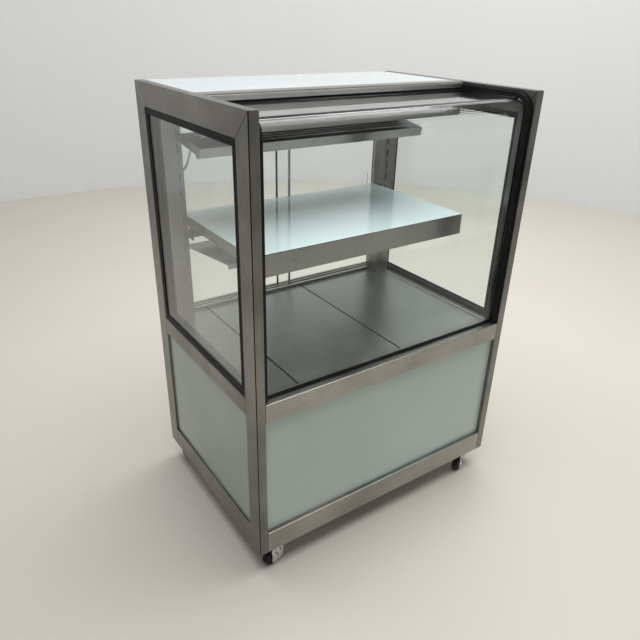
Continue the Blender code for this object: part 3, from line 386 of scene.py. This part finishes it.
def settle(name, scale=(1.0, 1.0, 1.0)):
    """Names the piece that was just added and puts its place, turn and size into its mesh."""
    piece = bpy.context.object
    piece.name = name
    piece.scale = scale
    bpy.ops.object.transform_apply(location=True, rotation=True, scale=True)
    return piece


def pick_faces(piece, wanted):
    """Selects in edit mode the faces that pass a test of their middle and normal."""
    shape = bmesh.from_edit_mesh(piece.data)
    bpy.ops.mesh.select_mode(type="FACE")
    bpy.ops.mesh.select_all(action="DESELECT")
    for face in shape.faces:
        face.select_set(wanted(face.calc_center_median(), face.normal))
    bmesh.update_edit_mesh(piece.data)


def copy_piece(piece):
    """Adds a copy with its own mesh, and leaves it as the only selected piece."""
    bpy.ops.object.select_all(action="DESELECT")
    piece.select_set(True)
    bpy.context.view_layer.objects.active = piece
    bpy.ops.object.duplicate()
    return bpy.context.object


def join_pieces(pieces):
    """Makes the pieces one object, under the name of the first."""
    bpy.ops.object.select_all(action="DESELECT")
    for piece in pieces:
        piece.select_set(True)
    bpy.context.view_layer.objects.active = pieces[0]
    bpy.ops.object.join()


def fit_piece(piece, material, body):
    """Gives a finished piece its material, and the CAD body and finish that it goes with."""
    piece.data.materials.clear()
    piece.data.materials.append(material)
    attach(piece, body)


enamel_black = moulded_plastic(
    "black_enamel", pale=(0.028, 0.028, 0.03), deep=(0.016, 0.016, 0.018), roughness=(0.26, 0.40)
)
bpy.ops.object.select_all(action="DESELECT")
bpy.ops.mesh.primitive_cylinder_add(
    vertices=16,
    radius=RIVET_RADIUS,
    depth=RIVET_RISE,
    location=(0.0, CHEEK_FACE + RIVET_RISE / 2, 0.0),
    rotation=(math.pi / 2, 0.0, 0.0),
)
first_rivet = settle("first_rivet")
bpy.ops.object.mode_set(mode="EDIT")
pick_faces(first_rivet, lambda centre, normal: normal.y > SQUARE_ON)
bpy.ops.mesh.inset(thickness=RIVET_RADIUS / 2, depth=-RIVET_DISH)
bpy.ops.object.mode_set(mode="OBJECT")
joints = {joint["name"]: joint for joint in frame["joints"]}
for corner in CASTERS:
    swivel = Vector(joints[f"{corner}_swivel"]["pos_m"])
    axle = Vector(joints[f"{corner}_roll"]["axis"])
    heading = Matrix.Rotation(math.atan2(-axle.x, axle.y), 4, "Z")
    fork_place = Matrix.Translation((swivel.x, swivel.y, 0.0)) @ heading
    rivets = []
    for back, height in RIVET_PLACES:
        for cheek_turn in (0.0, math.pi):
            rivet = copy_piece(first_rivet)
            facing = Matrix.Rotation(cheek_turn, 4, "Z")
            rivet.matrix_world = fork_place @ Matrix.Translation((back, 0.0, height)) @ facing
            rivets.append(settle(f"{corner}_caster_rivets"))
    join_pieces(rivets)
    # Painted shade: the rivet heads are black to stand for the dark holes in the cheeks.
    fit_piece(rivets[0], enamel_black, f"{corner}_fork")
bpy.data.objects.remove(first_rivet)


# Cooling unit: a compressor in a black enamelled shell, and a finned aluminium condenser with
# its black fan. They stand on the base plate, behind the louvred panel.
fin_sheet = brushed_metal(
    "coil_fins", "Z", dark=(0.52, 0.53, 0.54), light=(0.72, 0.73, 0.74), roughness=(0.30, 0.46)
)
finish_nodes(fin_sheet, "condenser_coil")
finish_nodes(enamel_black, "condenser_fan", "compressor")


# Cooling tub: the insulated trough under the deck, a pale moulded liner filled with foam. The
# finned evaporator stands in it and chills the air.
liner_plastic = moulded_plastic(
    "tub_liner", pale=(0.74, 0.76, 0.76), deep=(0.66, 0.68, 0.68), roughness=(0.42, 0.58)
)
finish_nodes(liner_plastic, "cooling_tub")
finish_nodes(fin_sheet, "evaporator_coil")


# Deck plates: three loose plates of satin stainless sheet that rest on the rim of the tub.
# Trays have rubbed them from side to side, and the plates are painted dark along the two seams,
# painted shade of the gaps between them.
SATIN_LINES = {"fine": 620.0, "coarse": 60.0}
DECK_SEAM_SHADE_WIDTH = 0.0026
DECK_SEAM_SHADE_TONE = (0.03, 0.031, 0.029)
deck_sheet = brushed_metal(
    "satin_deck",
    "X",
    dark=(0.24, 0.258, 0.242),
    light=(0.38, 0.402, 0.378),
    roughness=(0.28, 0.42),
    **SATIN_LINES,
)
deck_tree = deck_sheet.node_tree
deck_x = split_place(deck_tree)["X"]
# Painted shade: dark bands on the plates along both seams.
deck_seam_shades = []
for seam_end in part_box("middle_deck_plate"):
    aside = calculate(deck_tree, "SUBTRACT", deck_x, seam_end.x)
    away = calculate(deck_tree, "ABSOLUTE", aside)
    deck_seam_shades.append(calculate(deck_tree, "LESS_THAN", away, DECK_SEAM_SHADE_WIDTH))
paint_over(deck_sheet, calculate(deck_tree, "MAXIMUM", *deck_seam_shades), DECK_SEAM_SHADE_TONE)
finish_nodes(deck_sheet, "left_deck_plate", "middle_deck_plate", "right_deck_plate")


# Lower panels: flat glass with a pale green-white coat on its back, one in each side frame and
# one between the front rails. Wiping leaves faint streaks on the face. The side panels have a
# darker copy of the coat, painted shade for the sides that the light reaches less.
WIPE_TURN = (0.3, 0.2, 0.5)
WIPE_STRETCH = (1.0, 2.2, 0.7)
PANEL_STREAKS = 8.0
PANEL_IOR = 1.5
PANEL_ROUGHNESS = (0.05, 0.11)


def make_film_group():
    """The streaks that a wiped pane keeps."""
    group, given, made = new_group("wiped_film", {"Streak Scale": "Float"}, {"Mask": "Float"})
    wipe = add_node(group, "ShaderNodeMapping")
    values = {"Vector": object_place(group), "Rotation": WIPE_TURN, "Scale": WIPE_STRETCH}
    fill_inputs(group, wipe, values)
    scale = given.outputs["Streak Scale"]
    streaks = noise(group, wipe.outputs["Vector"], scale, detail=5.0, roughness=0.6)
    fill_inputs(group, made, {"Mask": remap(group, streaks, low=0.48, high=0.78)})
    return group


wiped_film = make_film_group()


def add_film(tree, streak_scale):
    film = add_node(tree, "ShaderNodeGroup", node_tree=wiped_film)
    fill_inputs(tree, film, {"Streak Scale": streak_scale})
    return film.outputs["Mask"]


def backed_glass(name, pale, deep, roughness):
    """Glass with a coat on its back, which looks like one glossy coloured sheet."""
    material, tree, shader = new_material(name)
    patches = add_mottle(tree, scale=2.4, low=0.32, high=0.68)["Mask"]
    finish = {
        "Base Color": mix_colour(tree, patches, deep, pale),
        "Roughness": between(tree, add_film(tree, PANEL_STREAKS), roughness),
        "IOR": PANEL_IOR,
    }
    fill_inputs(tree, shader, finish)
    return material


panel_glass = backed_glass(
    "white_backed_panel",
    pale=(0.54, 0.635, 0.59),
    deep=(0.485, 0.575, 0.53),
    roughness=PANEL_ROUGHNESS,
)
# Painted shade: the side panels take a darker copy of the front panel's coat.
side_panel_shaded = backed_glass(
    "white_backed_side_shaded",
    pale=(0.36, 0.42, 0.385),
    deep=(0.30, 0.355, 0.325),
    roughness=PANEL_ROUGHNESS,
)
finish_nodes(panel_glass, "front_lower_panel")
finish_nodes(side_panel_shaded, "left_lower_panel", "right_lower_panel")


# Louvred rear panel: one stainless sheet with pressed louvres, through which the cooling unit
# breathes. Eight round-headed screws with a sunk middle hold it along its edges.
SCREW_RADIUS = 0.0042
SCREW_HEAD = 0.0018
SCREW_EDGE = 0.014
SCREW_RECESS_EDGE = 0.0020
SCREW_RECESS = 0.0007
SCREW_ROUND = 0.0005


def pick_edges(piece, wanted):
    """Selects in edit mode the edges whose two ends both pass a test of their place."""
    shape = bmesh.from_edit_mesh(piece.data)
    bpy.ops.mesh.select_mode(type="EDGE")
    bpy.ops.mesh.select_all(action="DESELECT")
    for edge in shape.edges:
        edge.select_set(all(wanted(end.co) for end in edge.verts))
    bmesh.update_edit_mesh(piece.data)


finish_nodes(steel_upright, "rear_louvre_panel")
panel_low, panel_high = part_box("rear_louvre_panel")
screw_columns = (panel_low.x + SCREW_EDGE, panel_high.x - SCREW_EDGE)
screw_rows = (panel_low.z + SCREW_EDGE, (panel_low.z + panel_high.z) / 2, panel_high.z - SCREW_EDGE)
screw_places = [(x, z) for x in screw_columns for z in screw_rows]
screw_places += [(0.0, screw_rows[0]), (0.0, screw_rows[2])]
screw_crown = panel_high.y + SCREW_HEAD
first_x, first_z = screw_places[0]
bpy.ops.object.select_all(action="DESELECT")
bpy.ops.mesh.primitive_cylinder_add(
    vertices=24,
    radius=SCREW_RADIUS,
    depth=SCREW_HEAD,
    location=(first_x, panel_high.y + SCREW_HEAD / 2, first_z),
    rotation=(math.pi / 2, 0.0, 0.0),
)
first_screw = settle("rear_panel_screws")
bpy.ops.object.mode_set(mode="EDIT")
pick_edges(first_screw, lambda place: place.y > screw_crown - SCREW_HEAD / 2)
bpy.ops.mesh.bevel(offset=SCREW_ROUND, segments=3)
pick_faces(
    first_screw,
    lambda centre, normal: normal.y > SQUARE_ON and centre.y > screw_crown - SCREW_ROUND / 2,
)
bpy.ops.mesh.inset(thickness=SCREW_RECESS_EDGE, depth=0.0)
bpy.ops.mesh.inset(thickness=SCREW_RECESS / 2, depth=-SCREW_RECESS)
bpy.ops.object.mode_set(mode="OBJECT")
screws = [first_screw]
for x, z in screw_places[1:]:
    screw = copy_piece(first_screw)
    screw.location = (x - first_x, 0.0, z - first_z)
    screws.append(settle("rear_panel_screw"))
join_pieces(screws)
fit_piece(first_screw, steel_upright, "case")


# Shelf brackets and bar: two tapered brackets of stainless plate that hook into the slots of the
# pillars, and a folded stainless bar that runs across under the rear of the shelf.
finish_nodes(steel_depthwise, "left_shelf_bracket", "right_shelf_bracket")
finish_nodes(steel_crosswise_lit, "shelf_rear_bar")


# Shelf: one sheet of satin stainless folded down into a deep lip in front, with a pale coat on
# top. It rests on the brackets, and a dark line runs along its edges just under the coat.
SHELF_COAT = (0.76, 0.87, 0.90)
SHELF_COAT_ROUGHNESS = (0.07, 0.16)
SHELF_STREAKS = 9.0
SHELF_LINE = (0.03, 0.033, 0.032)
SHELF_LINE_HEIGHT = 0.0016
FACING = 0.6
MIX_NUMBER_FIRST = 2
MIX_NUMBER_SECOND = 3
MIX_NUMBER_RESULT = 0


def facing_mask(tree, axis, way):
    """Where the surface faces along one axis, such as up."""
    split = add_node(tree, "ShaderNodeSeparateXYZ")
    fill_inputs(tree, split, {"Vector": add_node(tree, "ShaderNodeNewGeometry").outputs["Normal"]})
    along = calculate(tree, "MULTIPLY", split.outputs[axis], way)
    return calculate(tree, "GREATER_THAN", along, FACING)


shelf_sheet = brushed_metal(
    "satin_shelf",
    "X",
    dark=(0.27, 0.275, 0.26),
    light=(0.41, 0.42, 0.40),
    roughness=(0.24, 0.38),
    **SATIN_LINES,
)
shelf_tree = shelf_sheet.node_tree
shelf_shader = shelf_tree.nodes["Principled BSDF"]
shelf_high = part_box("shelf")[1]
line_foot = shelf_high.z - SHELF_LINE_HEIGHT
shelf_edge = calculate(shelf_tree, "GREATER_THAN", split_place(shelf_tree)["Z"], line_foot)
shelf_top = facing_mask(shelf_tree, "Z", 1.0)
paint_over(shelf_sheet, shelf_edge, SHELF_LINE)
paint_over(shelf_sheet, shelf_top, SHELF_COAT)
shelf_film = add_film(shelf_tree, SHELF_STREAKS)
shelf_gloss = add_node(shelf_tree, "ShaderNodeMix", data_type="FLOAT")
gloss_values = {
    "Factor": shelf_top,
    MIX_NUMBER_FIRST: shelf_shader.inputs["Roughness"].links[0].from_socket,
    MIX_NUMBER_SECOND: between(shelf_tree, shelf_film, SHELF_COAT_ROUGHNESS),
}
fill_inputs(shelf_tree, shelf_gloss, gloss_values)
shelf_finish = {
    "Metallic": calculate(shelf_tree, "SUBTRACT", 1.0, shelf_top),
    "Roughness": shelf_gloss.outputs[MIX_NUMBER_RESULT],
}
fill_inputs(shelf_tree, shelf_shader, shelf_finish)
finish_nodes(shelf_sheet, "shelf")


# Lamp hoods: tilted hoods of satin sheet, one hung from the pillars near the top of the case and
# one fixed under the shelf. Their upper sides are painted near black, painted shade under the
# roof and the shelf.
HOOD_TOP_SHADE = (0.012, 0.013, 0.013)
hood_sheet = brushed_metal(
    "satin_hood",
    "X",
    dark=(0.30, 0.315, 0.32),
    light=(0.46, 0.48, 0.49),
    roughness=(0.16, 0.28),
    **SATIN_LINES,
)
# Painted shade: the upward faces of the hoods are painted near black.
paint_over(hood_sheet, facing_mask(hood_sheet.node_tree, "Z", 1.0), HOOD_TOP_SHADE)
finish_nodes(hood_sheet, "lamp_hood", "shelf_lamp_hood")


# Lamp tubes and lead: an opal white tube is held at its ends under each hood. A pale sheathed
# lead runs from the left end of the top lamp to the left pillar.
tube_white = moulded_plastic(
    "lamp_opal", pale=(0.93, 0.92, 0.87), deep=(0.86, 0.85, 0.80), roughness=(0.22, 0.34)
)
lead_sheath = moulded_plastic(
    "lead_sheath", pale=(0.78, 0.78, 0.74), deep=(0.66, 0.66, 0.63), roughness=(0.30, 0.44)
)
finish_nodes(tube_white, "lamp_tube", "shelf_lamp_tube")
finish_nodes(lead_sheath, "lamp_lead")


# Side pair glass: two clear panes in each side frame, held apart by a black spacer and sealed
# round the edge. The panes carry a faint film where they were wiped.
PANE_IOR = 1.30
PANE_STREAKS = 6.0
PANE_ROUGHNESS = (0.0, 0.025)
PANE_SHADOW = (0.93, 0.96, 0.945)


def clear_pane(name, tint, film_tint):
    """Clear float glass that lets light through to what stands behind it."""
    material, tree, shader = new_material(name)
    film = add_film(tree, PANE_STREAKS)
    finish = {
        "Base Color": mix_colour(tree, film, tint, film_tint),
        "Roughness": between(tree, film, PANE_ROUGHNESS),
        "IOR": PANE_IOR,
        "Transmission Weight": 1.0,
    }
    fill_inputs(tree, shader, finish)
    passing = add_node(tree, "ShaderNodeBsdfTransparent")
    fill_inputs(tree, passing, {"Color": PANE_SHADOW})
    path = add_node(tree, "ShaderNodeLightPath").outputs
    unseen = calculate(tree, "MAXIMUM", path["Is Shadow Ray"], path["Is Diffuse Ray"])
    choice = add_node(tree, "ShaderNodeMixShader")
    fill_inputs(tree, choice, {0: unseen, 1: shader.outputs["BSDF"], 2: passing.outputs["BSDF"]})
    fill_inputs(tree, tree.nodes["Material Output"], {"Surface": choice.outputs["Shader"]})
    return material


pane_glass = clear_pane("clear_pane", tint=(0.965, 0.985, 0.975), film_tint=(0.935, 0.96, 0.95))
seal_rubber = black_rubber(
    "black_seal",
    dark=(0.006, 0.006, 0.007),
    light=(0.016, 0.016, 0.017),
    roughness=(0.38, 0.62),
    grain_scale=900.0,
)
for side in ("left", "right"):
    finish_nodes(pane_glass, f"{side}_outer_glass", f"{side}_inner_glass")
    finish_nodes(seal_rubber, f"{side}_glass_spacer")


# Glazing beads: a black rubber strip pressed round the outer face of each side glass, level
# with the frame, with a rounded lip on the glass and a groove along its middle.
BEAD_WIDTH = 0.0145
BEAD_RISE = 0.0018
BEAD_OFF_GLASS = 0.0002
BEAD_ROUND = 0.0007
BEAD_GROOVE_EDGE = 0.0052
BEAD_GROOVE = 0.0008


def extrude_by(x, y, z):
    bpy.ops.mesh.extrude_region_move(TRANSFORM_OT_translate={"value": (x, y, z)})


def face_outwards():
    bpy.ops.mesh.select_all(action="SELECT")
    bpy.ops.mesh.normals_make_consistent(inside=False)


for side, sign in (("left", -1), ("right", 1)):
    glass_low, glass_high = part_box(f"{side}_outer_glass")
    middle = (glass_low + glass_high) / 2
    face_x = (glass_low.x if sign < 0 else glass_high.x) + sign * BEAD_OFF_GLASS
    crest_x = face_x + sign * BEAD_RISE
    bpy.ops.object.select_all(action="DESELECT")
    bpy.ops.mesh.primitive_plane_add(
        size=1.0, location=(face_x, middle.y, middle.z), rotation=(0.0, sign * math.pi / 2, 0.0)
    )
    bead_size = (glass_high.z - glass_low.z, glass_high.y - glass_low.y, 1.0)
    bead = settle(f"{side}_glass_bead", bead_size)
    bpy.ops.object.mode_set(mode="EDIT")
    bpy.ops.mesh.select_all(action="SELECT")
    bpy.ops.mesh.inset(thickness=BEAD_WIDTH, depth=0.0)
    bpy.ops.mesh.delete(type="FACE")
    bpy.ops.mesh.select_all(action="SELECT")
    extrude_by(sign * BEAD_RISE, 0.0, 0.0)
    face_outwards()
    pick_faces(bead, lambda centre, normal: sign * normal.x > SQUARE_ON)
    bpy.ops.mesh.inset(thickness=BEAD_GROOVE_EDGE, depth=0.0)
    bpy.ops.mesh.inset(thickness=BEAD_GROOVE, depth=-BEAD_GROOVE)
    pick_edges(bead, lambda place: abs(place.x - crest_x) < BEAD_OFF_GLASS / 2)
    bpy.ops.mesh.bevel(offset=BEAD_ROUND, segments=2)
    face_outwards()
    bpy.ops.object.mode_set(mode="OBJECT")
    fit_piece(bead, seal_rubber, "case")


# Bent front glass: one pane bent to a J, the front and the top in one piece, held in a black
# rubber gasket that lines the side frames, the beam and the front rail.
finish_nodes(pane_glass, "front_outer_glass")
finish_nodes(seal_rubber, "front_glass_gasket")


# Front beads: a square black rubber cord pushed into each side channel of the gasket, in front
# of the bent glass. It follows the glass up the front, round the bend and back along the top.
CORD_PAST_GLASS = 0.0002
CORD_WIDTH = 0.0052
CORD_OFF_GLASS = 0.0018
CORD_DEPTH = 0.0105
CORD_FOOT_GAP = 0.0012
CORD_REAR_GAP = 0.0050
CORD_ROUND = 0.0011
BEND_RADIUS = 0.030
BEND_STEPS = 12
pane_low, pane_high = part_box("front_outer_glass")
bend_y = pane_low.y + BEND_RADIUS
bend_z = pane_high.z - BEND_RADIUS
cord_foot = pane_low.z + CORD_FOOT_GAP
cord_side = pane_high.x + CORD_PAST_GLASS
cord_x = cord_side - CORD_WIDTH / 2
cord_y = pane_low.y - CORD_OFF_GLASS - CORD_DEPTH / 2
cord_run_back = pane_high.y - CORD_REAR_GAP - bend_y


def off_glass(place):
    """How far a point stands off the outer face of the bent glass."""
    if place.z < bend_z:
        return pane_low.y - place.y
    if place.y > bend_y:
        return place.z - pane_high.z
    return math.hypot(place.y - bend_y, place.z - bend_z) - BEND_RADIUS


def on_cord_lip(place):
    """Whether a point is on the outer edge of the cord that faces the middle of the case."""
    outside = off_glass(place) > CORD_OFF_GLASS + CORD_DEPTH / 2
    return outside and abs(place.x) < cord_side - CORD_WIDTH + CORD_ROUND


for side, sign in (("left", -1), ("right", 1)):
    bpy.ops.object.select_all(action="DESELECT")
    bpy.ops.mesh.primitive_plane_add(size=1.0, location=(sign * cord_x, cord_y, cord_foot))
    cord = settle(f"{side}_front_bead", (CORD_WIDTH, CORD_DEPTH, 1.0))
    bpy.ops.object.mode_set(mode="EDIT")
    bpy.ops.mesh.select_all(action="SELECT")
    extrude_by(0.0, 0.0, bend_z - cord_foot)
    bpy.ops.mesh.spin(
        steps=BEND_STEPS, angle=math.pi / 2, center=(0.0, bend_y, bend_z), axis=(1.0, 0.0, 0.0)
    )
    extrude_by(0.0, cord_run_back, 0.0)
    face_outwards()
    pick_edges(cord, on_cord_lip)
    bpy.ops.mesh.bevel(offset=CORD_ROUND, segments=2)
    bpy.ops.object.mode_set(mode="OBJECT")
    fit_piece(cord, seal_rubber, "case")


# Top beam and hem: a folded stainless beam behind the bent glass. The thin hem of the beam is
# folded down over the rear leg of the gasket, and a narrow black line of rubber shows under it.
# The hem's steel is painted far lighter than the beam's, a painted highlight along its fold.
HEM_SHEET = 0.0009
HEM_DROP = 0.0098
HEM_GAP = 0.0002
HEM_END = 0.0008
HEM_ROUND = 0.0003
finish_nodes(steel_crosswise_lit, "top_beam")
beam_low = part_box("top_beam")[0]
seal_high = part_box("front_glass_gasket")[1]
hem_top = seal_high.z + HEM_GAP + HEM_SHEET
hem_rear = pane_high.y + HEM_GAP / 2
hem_fold = hem_top - HEM_SHEET
hem_middle = hem_rear - HEM_SHEET / 2
hem_reach = beam_low.y - HEM_GAP / 2 - hem_rear
bpy.ops.object.select_all(action="DESELECT")
bpy.ops.mesh.primitive_cube_add(size=1.0, location=(0.0, hem_middle, hem_top - HEM_DROP / 2))
hem_strip = settle("beam_hem", (2 * (pane_high.x - HEM_END), HEM_SHEET, HEM_DROP))
bpy.ops.object.mode_set(mode="EDIT")
bpy.ops.mesh.select_all(action="SELECT")
bpy.ops.mesh.bisect(plane_co=(0.0, 0.0, hem_fold), plane_no=(0.0, 0.0, 1.0))
pick_faces(hem_strip, lambda centre, normal: normal.y > SQUARE_ON and centre.z > hem_fold)
extrude_by(0.0, hem_reach, 0.0)
pick_edges(hem_strip, lambda place: place.z > hem_top - HEM_GAP / 2 and place.y < hem_middle)
bpy.ops.mesh.bevel(offset=HEM_ROUND, segments=3)
face_outwards()
bpy.ops.object.mode_set(mode="OBJECT")
# Painted highlight: the hem is the beam's stainless, painted far lighter.
steel_hem_highlight = brushed_metal(
    "hairline_hem_highlight", "X", dark=(0.56, 0.56, 0.54), light=(0.76, 0.76, 0.74), roughness=(0.28, 0.42)
)
fit_piece(hem_strip, steel_hem_highlight, "case")


# Top panel: flat glass with a white coat, set between the beam and the rear header. Its under
# side is painted near black, painted shade that the hood below mirrors.
UNDERSIDE_SHADE = (0.035, 0.038, 0.038)
top_glass = backed_glass(
    "white_backed_top", pale=(0.60, 0.665, 0.67), deep=(0.55, 0.615, 0.62), roughness=(0.05, 0.12)
)
# Painted shade: the downward faces of the top panel are painted near black.
paint_over(top_glass, facing_mask(top_glass.node_tree, "Z", -1.0), UNDERSIDE_SHADE)
finish_nodes(top_glass, "top_panel")


# Sliding doors: two glass panes with a ground finger pull, in the tracks of the header and sill.
# Each has an anodised aluminium stile pressed on the edge where the doors meet.
STILE_ROUGHNESS = (0.30, 0.46)
pale_aluminium = brushed_metal(
    "pale_anodised",
    "Z",
    dark=(0.36, 0.37, 0.37),
    light=(0.50, 0.51, 0.51),
    roughness=STILE_ROUGHNESS,
)
dark_aluminium = brushed_metal(
    "dark_anodised",
    "Z",
    dark=(0.045, 0.045, 0.05),
    light=(0.10, 0.10, 0.11),
    roughness=STILE_ROUGHNESS,
)
finish_nodes(pane_glass, "left_door_glass", "right_door_glass")
finish_nodes(pale_aluminium, "left_door_stile")
finish_nodes(dark_aluminium, "right_door_stile")


# Floor and wall: a plain pale floor inside a round painted wall. The half of the wall in front
# of the case is a darker grey, painted shade for a dimmer room in front, so that the glass mirrors
# less of it.
FLOOR_RADIUS = 14.0
WALL_RADIUS = 3.2
WALL_HEIGHT = 3.0
ROUND_STEPS = 96
WALL_SHADE = (0.46, 0.465, 0.47)
WALL_SHADE_FROM = -0.2
WALL_SHADE_TO = -1.6


def plain_coat(name, first, second, roughness):
    material, tree, shader = new_material(name)
    patches = add_mottle(tree, scale=1.2, low=0.0, high=1.0)["Mask"]
    finish = {"Base Color": mix_colour(tree, patches, first, second), "Roughness": roughness}
    fill_inputs(tree, shader, finish)
    return material


bpy.ops.object.select_all(action="DESELECT")
bpy.ops.mesh.primitive_circle_add(vertices=ROUND_STEPS, radius=FLOOR_RADIUS, fill_type="NGON")
floor = settle("pale_floor")
floor_coat = plain_coat(
    "pale_floor", first=(0.66, 0.63, 0.565), second=(0.71, 0.68, 0.61), roughness=0.55
)
floor.data.materials.append(floor_coat)
bpy.ops.object.select_all(action="DESELECT")
bpy.ops.mesh.primitive_circle_add(vertices=ROUND_STEPS, radius=WALL_RADIUS, fill_type="NOTHING")
wall = settle("pale_wall")
bpy.ops.object.mode_set(mode="EDIT")
bpy.ops.mesh.select_mode(type="EDGE")
bpy.ops.mesh.select_all(action="SELECT")
extrude_by(0.0, 0.0, WALL_HEIGHT)
bpy.ops.object.mode_set(mode="OBJECT")
wall_coat = plain_coat(
    "pale_wall", first=(0.74, 0.745, 0.75), second=(0.77, 0.775, 0.78), roughness=0.7
)
# Painted shade: the wall darkens towards its front half.
wall_y = split_place(wall_coat.node_tree)["Y"]
wall_front_shade = remap(wall_coat.node_tree, wall_y, WALL_SHADE_FROM, WALL_SHADE_TO)
paint_over(wall_coat, wall_front_shade, WALL_SHADE)
wall.data.materials.append(wall_coat)


# Light: one soft panel overhead, a second one that lights the wall behind the case, and a dim
# room above them.
ROOM_COLOUR = (0.96, 0.98, 1.0)
ROOM_STRENGTH = 0.18
world = bpy.data.worlds.new("dim_room")
bpy.context.scene.world = world
world.use_nodes = True
room = world.node_tree.nodes["Background"]
fill_inputs(world.node_tree, room, {"Color": ROOM_COLOUR, "Strength": ROOM_STRENGTH})


def soft_panel(name, place, target, width, depth, energy):
    """An area light that faces a point."""
    bpy.ops.object.light_add(type="AREA", location=place)
    panel = bpy.context.object
    panel.name = name
    panel.rotation_euler = (Vector(target) - Vector(place)).to_track_quat("-Z", "Y").to_euler()
    panel.data.shape = "RECTANGLE"
    panel.data.size = width
    panel.data.size_y = depth
    panel.data.energy = energy


soft_panel(
    "overhead_panel",
    place=(0.40, -0.08, 2.75),
    target=(0.40, -0.08, 0.0),
    width=3.2,
    depth=2.4,
    energy=88.0,
)
soft_panel(
    "wall_panel",
    place=(0.9, 1.0, 2.6),
    target=(1.9, 2.6, 1.5),
    width=2.6,
    depth=0.6,
    energy=20.0,
)


# Camera: the place that the photograph was taken from, fitted to the outer corners of the frame,
# with the ways that the camera's right, up and back point.
CAMERA_PLACE = (-0.79875, -1.09253, 1.12091)
CAMERA_RIGHT = (0.82511, -0.56449, 0.02327)
CAMERA_UP = (0.23757, 0.38403, 0.89224)
CAMERA_BACK = (-0.51259, -0.73067, 0.45097)
CAMERA_SENSOR = 36.0
CAMERA_LENS = 34.01
bpy.ops.object.camera_add(location=CAMERA_PLACE)
camera = bpy.context.object
camera.name = "photo_camera"
camera_turn = Matrix((CAMERA_RIGHT, CAMERA_UP, CAMERA_BACK)).transposed()
camera.rotation_euler = camera_turn.to_euler()
camera.data.sensor_width = CAMERA_SENSOR
camera.data.lens = CAMERA_LENS
bpy.context.scene.camera = camera
bpy.context.scene.view_settings.view_transform = "Standard"
